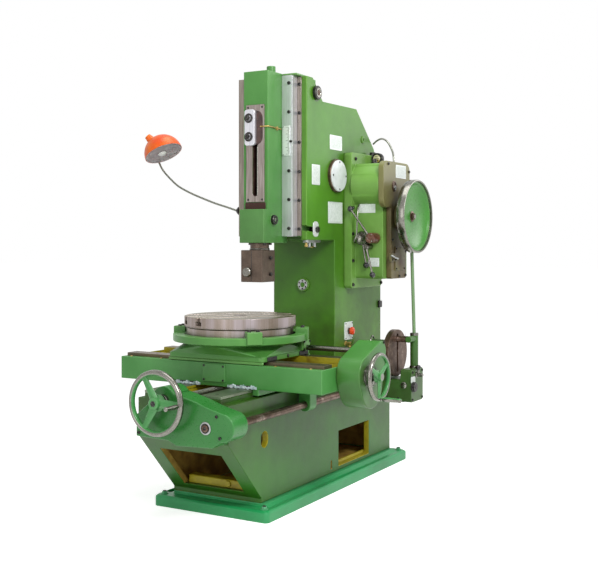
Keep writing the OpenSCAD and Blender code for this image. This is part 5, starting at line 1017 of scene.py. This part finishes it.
paint = node(tree, "ShaderNodeBsdfPrincipled", {"Roughness": 0.35, "IOR": 1.5}, {"Base Color": tone.outputs[0]})
node(tree, "ShaderNodeOutputMaterial", links={"Surface": paint.outputs[0]})
tip = Matrix.Rotation(math.radians(-28), 3, "Y") @ Matrix.Rotation(math.radians(-3), 3, "X")
crown = tip @ Vector((0, 0, 1))
dome = [(95 * math.cos(math.radians(a)), 95 * math.sin(math.radians(a))) for a in range(4, 90, 6)]
inner = [(93 * math.cos(math.radians(a)), 93 * math.sin(math.radians(a))) for a in range(88, 0, -6)]
lamp = bmesh.new()
spun(lamp, [(93.4, 0.3), (94.9, 0.3), (95, 3)] + dome + [(0, 95)], shade_at, crown, 72, 0)
spun(lamp, [(0, 93)] + inner + [(93.4, 0.3)], shade_at, crown, 72, 1)
spun(lamp, [(21, 92), (20, 94), (18.5, 104), (18.5, 106), (16.6, 107), (16.2, 116), (14, 118), (0, 118)],
     shade_at, holder_way, 36, 0)
spun(lamp, [(0, 49.5), (12, 49.5), (15.8, 52), (15.8, 92.6)], shade_at, holder_way, 32, 2)
bulb = [(0, -8)] + [(27 * math.cos(math.radians(a)), 19 + 27 * math.sin(math.radians(a))) for a in range(-80, 50, 13)]
spun(lamp, bulb + [(13, 46), (11.5, 51)], shade_at, holder_way, 32, 3)

# opal bulb: milky glass with a soft shine
opal, tree = material("opal_bulb_glass")
spot = node(tree, "ShaderNodeTexCoord").outputs["Object"]
milk = node(tree, "ShaderNodeTexNoise", {"Scale": 60.0}, {"Vector": spot})
tone = node(tree, "ShaderNodeValToRGB", {"ramp": [(0.3, linear("#dcdcd8")), (0.7, linear("#eeeeea"))]},
            {"Fac": milk.outputs["Fac"]})
glass = node(tree, "ShaderNodeBsdfPrincipled", {"Roughness": 0.08, "IOR": 1.52}, {"Base Color": tone.outputs[0]})
node(tree, "ShaderNodeOutputMaterial", links={"Surface": glass.outputs[0]})
piece_of("lamp_dome", lamp, "guide", "orange_paint", lamp_enamel, reflector, black_oxide, opal, turn=50,
         nodes=("lamp_shade",))

# End cover.
# Flat iron cover on the nose that carries the hand wheel's screw, a stud for
# the feed gears and the end of the splined shaft; studs show at its rim.
cover_enamel = enamel("machine_enamel_end_cover", "#35863a", "#2c7a31", "#74b070", 0.26, 0.3)
casting("end_cover_casting", "end_cover", 5, "frame", "green_paint", cover_enamel, cuts=4)
casting("spline_shaft_turned", "spline_shaft", 0.8, "frame", "steel", oil_steel, cuts=1)
cover_y = -1010.5
cover_bits = bmesh.new()
spun(cover_bits, [(26, -0.3), (26, 2), (24, 3.6), (20, 3.6), (18.5, 0.6), (0, 0.6)], (193, cover_y, 435), (0, -1, 0), 48, 2)
spun(cover_bits, [(18.6, 0.4), (18.4, 1), (0, 1)], (193, cover_y, 435), (0, -1, 0), 40, 0)
spun(cover_bits, [(14.5, 0.8), (14.5, 6), (12.5, 8), (8.4, 8), (8, 5), (0, 5)], (193, cover_y, 435), (0, -1, 0), 32, 3)
spun(cover_bits, [(7.8, 4.9), (7.8, 5.6), (0, 5.6)], (193, cover_y, 435), (0, -1, 0), 6, 0)
for x, z in ((246, 485), (262, 402), (-140, 388)):
    bolt(cover_bits, (x, cover_y + 0.2, z), (0, -1, 0), 6.5, 5, matter=0)
spun(cover_bits, [(30, 0), (30, 14), (28, 16), (16, 16)], (-13, cover_y + 0.2, 524), (0, -1, 0), 48, 1)
for k in range(36):
    angle = math.radians(10 * k)
    slab(cover_bits, (-13 + 29.6 * math.cos(angle), cover_y - 8, 524 + 29.6 * math.sin(angle)), (0.9, 8, 0.7),
         (math.cos(angle), 0, math.sin(angle)), (0, 1, 0), 0.3, 0.1, 0)
for k in range(6):
    angle = math.radians(60 * k)
    pipe(cover_bits, [(270 + 14.6 * math.cos(angle), -904, 441 + 14.6 * math.sin(angle)),
                      (270 + 14.6 * math.cos(angle), 348, 441 + 14.6 * math.sin(angle))], 1.3, 6, 3, 1)
piece_of("end_cover_fittings", cover_bits, "frame", "steel", black_oxide, turned_steel, steel_block, oil_steel)


# Front wheel.
# Cast wheel, rim and handle turned and polished. It drives the bed screw,
# which runs under the saddle; a castle nut and a key hold it.
def hand_wheel(form, at, way, first, radius, rim, hub, screw, angles):
    """Adds a polished rim, tapered spokes, a stepped hub and a turned handle."""
    out = Vector(way)
    place = Vector(at)
    zero = Vector(first)
    other = out.cross(zero)
    flat = 0.82 * rim
    ring = [(radius - flat + flat * math.cos(math.radians(a)), rim * math.sin(math.radians(a)))
            for a in range(0, 361, 20)]
    spun(form, ring, place, way, 96, 0)
    spun(form, [(screw, -1.5 * rim), (hub * 0.9, -1.5 * rim), (hub, -1.5 * rim + 3), (hub, -6), (hub * 0.72, -2),
                (hub * 0.7, 1.3 * rim), (hub * 0.62, 1.5 * rim), (screw * 0.8, 1.5 * rim)], place, way, 48, 0)
    for angle in angles:
        reach = zero * math.cos(math.radians(angle)) + other * math.sin(math.radians(angle))
        across = out.cross(reach)
        rings = []
        for far, wide, thick in ((hub * 0.5, 1.4, 0.7), (hub + 6, 1.3, 0.6), ((hub + radius) / 2, 1.05, 0.5),
                                 (radius - 2.2 * rim, 0.95, 0.5), (radius - 1.1 * rim, 1.25, 0.62)):
            wide, thick = wide * rim, thick * rim
            rings.append([form.verts.new((place + reach * far + across * wide * math.cos(math.radians(a))
                                          + out * thick * math.sin(math.radians(a))) / 1000) for a in range(0, 360, 30)])
        for low, high in zip(rings, rings[1:]):
            for k in range(12):
                form.faces.new((low[k], low[(k + 1) % 12], high[(k + 1) % 12], high[k]))
    grip = place + zero * (radius - flat)
    spun(form, [(6, rim - 3), (8.5, rim), (8.5, rim + 2), (6.5, rim + 4), (6.5, rim + 7), (9.6, rim + 12), (9.9, rim + 30),
                (9.2, rim + 52), (8.2, 86), (9.8, 92), (9.4, 97), (6, 99.8), (0, 99.9)], grip, way, 28, 0)
    spun(form, [(screw * 0.85, 1.5 * rim - 1), (screw * 0.85, 1.5 * rim + 0.2)], place, way, 6, 1)


front_wheel = bmesh.new()
hand_wheel(front_wheel, (-13, -1060.5, 524), (0, -1, 0), (1, 0, 0), 134, 14, 34, 15, (0, 120, 240))
front_wheel_enamel = enamel("wheel_enamel_spokes", "#4b9a50", "#3f8c46", "#8fc490", 0.26, 0.2)


def by_radius(form, at, way, low, high, matter):
    """Gives the faces between two radii from an axis their own finish."""
    for face in form.faces:
        gap = face.calc_center_median() * 1000 - Vector(at)
        gap -= Vector(way) * gap.dot(Vector(way))
        if low < gap.length < high:
            face.material_index = matter


by_radius(front_wheel, (-13, -1060.5, 524), (0, -1, 0), 16, 117, 2)
piece_of("front_hand_wheel", front_wheel, "front_wheel", "steel", turned_steel, black_oxide, front_wheel_enamel,
         turn=40, nodes=("front_wheel",))
thread = bmesh.new()
pitch = 9
rows = [(15, 0), (14.9, 1.2), (14.9, 60)]
for k in range(int(1000 / pitch)):
    at_h = 62 + pitch * k
    rows += [(14.9, at_h), (14.9, at_h + pitch * 0.42), (12.6, at_h + pitch * 0.52), (12.6, at_h + pitch * 0.9)]
rows += [(14.9, 1070), (14.9, 1127), (13, 1129), (0, 1129)]
spun(thread, [(0, 0)] + rows, (-13, -1081.4, 524), (0, 1, 0), 24, 0)
piece_of("bed_lead_screw", thread, "front_wheel", "steel", steel_tube, nodes=("bed_screw",))

# Saddle.
# Long iron saddle on the bed ways; its trough is in yellow primer, and felt
# and rubber wipers are screwed over the ways. Oilers sit along its rims.
saddle_enamel = enamel("machine_enamel_saddle", "#459040", "#398334", "#80b878", 0.34, 0.35)


def saddle_paint(middle, facing):
    """0 enamel, 1 primer in the trough, 2 oily iron underneath."""
    x, y, z = middle
    if -640 < y < -299 and -510 < x < 523 and 573 < z < 645 and (facing.z > 0.9 or abs(facing.x) > 0.9
                                                                   or abs(facing.y) > 0.9):
        return 1
    return 2 if facing.z < -0.9 and z < 547 and abs(x) < 200 else 0


casting("saddle_casting", "saddle", 3, "saddle", "green_paint", saddle_enamel, primer, cast_skin, paint=saddle_paint)

# cross ways: hardened strips, brown with oil that has dried on them
cross_iron, tree = material("oil_browned_way_iron")
spot = node(tree, "ShaderNodeTexCoord").outputs["Object"]
along = node(tree, "ShaderNodeMapping", {"Scale": (0.05, 1.0, 1.0)}, {"Vector": spot})
lines = node(tree, "ShaderNodeTexNoise", {"Scale": 120.0, "Detail": 5.0}, {"Vector": along.outputs[0]})
cloud = node(tree, "ShaderNodeTexNoise", {"Scale": 9.0, "Detail": 4.0}, {"Vector": spot})
tone = node(tree, "ShaderNodeValToRGB", {"ramp": [(0.3, linear("#3c2f22")), (0.7, linear("#5f5038"))]},
            {"Fac": cloud.outputs["Fac"]})
light = node(tree, "ShaderNodeMath", {"operation": "MULTIPLY", 1: 0.4}, {0: lines.outputs["Fac"]})
mixed = node(tree, "ShaderNodeMix", {"data_type": "RGBA", 7: linear("#9a927c")}, {0: light.outputs[0], 6: tone.outputs[0]})
metal = node(tree, "ShaderNodeBsdfPrincipled", {"Metallic": 0.8, "Roughness": 0.38}, {"Base Color": mixed.outputs[2]})
node(tree, "ShaderNodeOutputMaterial", links={"Surface": metal.outputs[0]})


def cross_way_paint(middle, facing):
    """0 oiled iron, 1 yellow primer on the sides that face the trough."""
    return 1 if -572 < middle.y < -367 and abs(facing.y) > 0.9 else 0


casting("cross_way_strips", "saddle_ways", 1.2, "saddle", "oiled_iron", cross_iron, primer, cuts=2,
        paint=cross_way_paint)

# rubber wipers: black strip under a thin pale steel clamping plate
rubber, tree = material("black_wiper_rubber")
spot = node(tree, "ShaderNodeTexCoord").outputs["Object"]
bloom = node(tree, "ShaderNodeTexNoise", {"Scale": 110.0, "Detail": 4.0}, {"Vector": spot})
tone = node(tree, "ShaderNodeValToRGB", {"ramp": [(0.35, linear("#1d1e1d")), (0.7, linear("#3a3c39"))]},
            {"Fac": bloom.outputs["Fac"]})
soft = node(tree, "ShaderNodeBsdfPrincipled", {"Roughness": 0.7, "IOR": 1.52}, {"Base Color": tone.outputs[0]})
node(tree, "ShaderNodeOutputMaterial", links={"Surface": soft.outputs[0]})

# white wiper felt, grey with oil
wiper_felt, tree = material("white_wiper_felt")
spot = node(tree, "ShaderNodeTexCoord").outputs["Object"]
wet = node(tree, "ShaderNodeTexNoise", {"Scale": 80.0, "Detail": 5.0}, {"Vector": spot})
tone = node(tree, "ShaderNodeValToRGB", {"ramp": [
    (0.34, linear("#6f8f86")), (0.5, linear("#b9cbd0")), (0.68, linear("#e4ecf2"))]}, {"Fac": wet.outputs["Fac"]})
nap = node(tree, "ShaderNodeBump", {"Strength": 0.5, "Distance": 0.002}, {"Height": wet.outputs["Fac"]})
wool = node(tree, "ShaderNodeBsdfPrincipled", {"Roughness": 0.9, "Sheen Weight": 0.2},
            {"Base Color": tone.outputs[0], "Normal": nap.outputs[0]})
node(tree, "ShaderNodeOutputMaterial", links={"Surface": wool.outputs[0]})

fittings = bmesh.new()
for side in (-1, 1):
    for y, way in ((-674.2, -1), (-264.8, 1)):
        slab(fittings, (side * 145, y, 553), (124, 12, 4), (0, way, 0), (0, 0, 1), 2, 1, 0)
        # the felt over the way is torn and frayed along both edges
        rings = []
        for k in range(23):
            x = side * 145 + (k - 11) * 6.6
            low = 546.5 + 1.6 * math.sin(0.31 * x) + 1.2 * math.sin(0.73 * x)
            top = 558 + 3.5 * math.sin(0.13 * x + 1) + 2 * math.sin(0.47 * x)
            rings.append([fittings.verts.new((x / 1000, (y + way * far) / 1000, z / 1000))
                          for far, z in ((0, low), (6.5, low), (6.5, top - 2), (3, top), (0, top))])
        faces = [fittings.faces.new(rings[0]), fittings.faces.new(rings[-1])]
        for one, two in zip(rings, rings[1:]):
            for k in range(5):
                faces.append(fittings.faces.new((one[k], one[(k + 1) % 5], two[(k + 1) % 5], two[k])))
        for face in faces:
            face.material_index = 1
slab(fittings, (0, -674.2, 603), (120, 78, 6), (0, -1, 0), (0, 0, 1), 6, 1.6, 3)
for side in (-1, 1):
    for z in (573, 633):
        bolt(fittings, (side * 50, -680, z), (0, -1, 0), 4.6, 3.4, matter=2)
for x in (-470, -300, 300, 470):
    for y in (-657, -282):
        spun(fittings, [(6.5, 0), (6.5, 2), (5, 3), (3.4, 3), (0, 4.4)], (x, y, 645.8), (0, 0, 1), 20, 4)
for x in (-480, -360, 360, 480):
    for y in (-605.5, -333.5):
        spun(fittings, [(7, 0), (7, 0.5), (4, 0.5), (3.4, 0.1), (0, 0.1)], (x, y, 659.7), (0, 0, 1), 20, 2)
slab(fittings, (-516.8, -469.5, 600), (150, 60, 5), (-1, 0, 0), (0, 0, 1), 6, 1.6, 3)
for y in (-530, -409):
    bolt(fittings, (-521.4, y, 600), (-1, 0, 0), 5, 4, matter=2)
piece_of("saddle_fittings", fittings, "saddle", "steel", rubber, wiper_felt, black_oxide, saddle_enamel, brass)

# end housing with the bevel gears, its cover screws and the dial collar
housing_enamel = enamel("machine_enamel_housing", "#458a38", "#3a7d2f", "#80b068", 0.3, 0.8, 0.38, 0.72,
                        stain="#3f3416")
casting("saddle_end_housing", "saddle_housing", 5, "saddle", "green_paint", housing_enamel, sharp=60, cuts=4)
casting("drive_shaft_turned", "drive_shaft", 1, "saddle", "steel", turned_steel, cuts=2)
collar = bmesh.new()
spun(collar, [(15.2, 0), (44, 0), (44, 4), (43, 5), (43, 21), (41, 23), (38, 23), (36, 27), (34, 28), (15.2, 28)],
     (640, -469.5, 608), (1, 0, 0), 72, 0)
for k in range(60):
    angle = math.radians(6 * k)
    slab(collar, (640 + (9.5 if k % 5 else 11.5), -469.5 + 42.8 * math.cos(angle), 608 + 42.8 * math.sin(angle)),
         (9 if k % 5 else 13, 0.9, 0.5), (0, math.cos(angle), math.sin(angle)), (0, -math.sin(angle), math.cos(angle)),
         0.3, 0.1, 1)
for y, z in ((-372, 500), (-318, 735)):
    bolt(collar, (639.8, y, z), (1, 0, 0), 5.5, 5, matter=1)
piece_of("dial_and_screws", collar, "saddle", "steel", turned_steel, black_oxide, nodes=("dial_collar",))

# Cross slide.
# Iron slide, square below and round above, with the worm's box at its rear
# right and a scraped ring under the table. Clamps sit on the ring's lugs.
slide_enamel = enamel("machine_enamel_cross_slide", "#559644", "#488838", "#8ab86e", 0.34, 0.3)
casting("cross_slide_casting", "cross_slide", 3, "cross_slide", "green_paint", slide_enamel, sharp=55,
        bore=(-329.5, 695, 13.5))
casting("worm_box_casting", "worm_box", 4, "cross_slide", "green_paint", slide_enamel)
casting("table_ring_casting", "table_ring", 3, "cross_slide", "green_paint", slide_enamel, sharp=55)
ring_bits = bmesh.new()
for angle in (-45, 25, 110, 195):
    turn = math.radians(angle)
    away = Vector((math.cos(turn), math.sin(turn), 0))
    side = Vector((-away.y, away.x, 0))
    foot = Vector((0, -469.5, 0)) + away * 282
    for shift in (-19, 19):
        bolt(ring_bits, tuple(foot + side * shift + Vector((0, 0, 786.8))), (0, 0, 1), 8, 7, matter=0)
slab(ring_bits, (262, -329.5, 706), (56, 44, 5), (1, 0, 0), (0, 0, 1), 6, 1.5, 3)
for sy in (-1, 1):
    for sz in (-1, 1):
        bolt(ring_bits, (266.6, -329.5 + sy * 24, 706 + sz * 16), (1, 0, 0), 4.5, 4, matter=0)
# aprons close the gap over the cross way's rims
slab(ring_bits, (0, -663.5, 654), (492, 12, 11), (0, -1, 0), (0, 0, 1), 3, 2, 3)
slab(ring_bits, (0, -275.5, 654), (492, 12, 11), (0, 1, 0), (0, 0, 1), 3, 2, 3)
for side, x in ((-1, -249.8), (1, 249.8)):
    for y in (-605, -334):
        slab(ring_bits, (x, y, 671), (74, 17, 5), (side, 0, 0), (0, 0, 1), 2, 1, 4)
    bolt(ring_bits, (x, -469.5, 671), (side, 0, 0), 6, 5, True, 0)
spun(ring_bits, [(5, 0), (5, 10), (8, 11), (8, 16), (0, 17)], (225, -300, 729), (0.2, 0.6, -0.1), 16, 5)
piece_of("cross_slide_fittings", ring_bits, "cross_slide", "oiled_iron", black_oxide, plate_metal, plate_face,
         slide_enamel, rubber, brass)

# Round table.
# Grey iron table, faced and turned on a lathe so that its top keeps fine
# rings, with three T-slots, a centre bore and degree marks round its rim.
def faced_iron(name, low, middle, high):
    """Oiled grey iron with facing rings, and upright painted reflection bands in three tones from shade to light."""
    made, tree = material(name)
    spot = node(tree, "ShaderNodeTexCoord").outputs["Object"]
    centred = node(tree, "ShaderNodeMapping", {"Location": (0, 0.4695, 0)}, {"Vector": spot})
    # facing cuts are 0.3 mm apart in life and are drawn 5 mm apart so that they show
    rings = node(tree, "ShaderNodeTexWave", {"wave_type": "RINGS", "rings_direction": "Z", "Scale": 62.0,
                                             "Distortion": 1.2, "Detail": 3.0, "Detail Scale": 2.0},
                 {"Vector": centred.outputs[0]})
    # upright bands round the rim: painted reflection streaks
    painted_reflection_bands = node(tree, "ShaderNodeMapping", {"Scale": (1.0, 1.0, 0.0)}, {"Vector": spot})
    cloud = node(tree, "ShaderNodeTexNoise", {"Scale": 13.0, "Detail": 6.0, "Roughness": 0.7},
                 {"Vector": painted_reflection_bands.outputs[0]})
    tone = node(tree, "ShaderNodeValToRGB", {"ramp": [
        (0.3, linear(low)), (0.5, linear(middle)), (0.7, linear(high))]}, {"Fac": cloud.outputs["Fac"]})
    light = node(tree, "ShaderNodeMath", {"operation": "MULTIPLY", 1: 0.22}, {0: rings.outputs["Fac"]})
    mixed = node(tree, "ShaderNodeMix", {"data_type": "RGBA", 7: linear("#b8ac9c")},
                 {0: light.outputs[0], 6: tone.outputs[0]})
    rough = node(tree, "ShaderNodeMapRange", {"To Min": 0.25, "To Max": 0.45}, {"Value": cloud.outputs["Fac"]})
    turned = node(tree, "ShaderNodeBump", {"Strength": 0.1, "Distance": 0.001}, {"Height": rings.outputs["Fac"]})
    metal = node(tree, "ShaderNodeBsdfPrincipled", {"Metallic": 0.9},
                 {"Base Color": mixed.outputs[2], "Roughness": rough.outputs[0], "Normal": turned.outputs[0]})
    node(tree, "ShaderNodeOutputMaterial", links={"Surface": metal.outputs[0]})
    return made


table_iron = faced_iron("turned_grey_iron", "#6a5a48", "#8c7f7a", "#b4a9b2")
top_iron = faced_iron("faced_oily_iron", "#4e482c", "#6f6849", "#93896a")


def table_paint(middle, facing):
    """0 the turned rim, 1 the faced top, brown-green with oil."""
    return 1 if facing.z > 0.9 and middle.z > 800 else 0


table_bits = bmesh.new()
casting("round_table_turned", "round_table", 1.8, "table", "steel", table_iron, top_iron, sharp=50, cuts=2,
        paint=table_paint)
for k in range(180):
    angle = math.radians(2 * k)
    slab(table_bits, (249.85 * math.cos(angle), -469.5 + 249.85 * math.sin(angle), 797 if k % 5 else 798.5),
         (0.7, 5 if k % 5 else 8, 0.5), (math.cos(angle), math.sin(angle), 0), (0, 0, 1), 0.3, 0.1, 0)
piece_of("table_degree_marks", table_bits, "table", "steel", black_oxide)

# Cross wheel.
# Smaller polished wheel on the cross screw, in front of the dial collar; its
# handle hangs down and points outward.
cross_wheel = bmesh.new()
hand_wheel(cross_wheel, (690, -469.5, 608), (1, 0, 0), (0, 0, -1), 101, 10, 26, 15, (0, 120, 240))
by_radius(cross_wheel, (690, -469.5, 608), (1, 0, 0), 12, 88.5, 2)
piece_of("cross_hand_wheel", cross_wheel, "cross_wheel", "steel", turned_steel, black_oxide, front_wheel_enamel,
         turn=40, nodes=("cross_wheel",))
thread = bmesh.new()
rows = [(0, 0), (13, 0), (14.9, 2)]
for k in range(112):
    at_h = 12 + pitch * k
    rows += [(14.9, at_h), (14.9, at_h + pitch * 0.42), (12.6, at_h + pitch * 0.52), (12.6, at_h + pitch * 0.9)]
rows += [(14.9, 1025), (14.9, 1210.0), (13.4, 1211.4), (0, 1211.4)]
spun(thread, rows, (-505, -469.5, 608), (1, 0, 0), 24, 0)
piece_of("cross_lead_screw", thread, "cross_wheel", "steel", steel_tube, nodes=("cross_screw",))
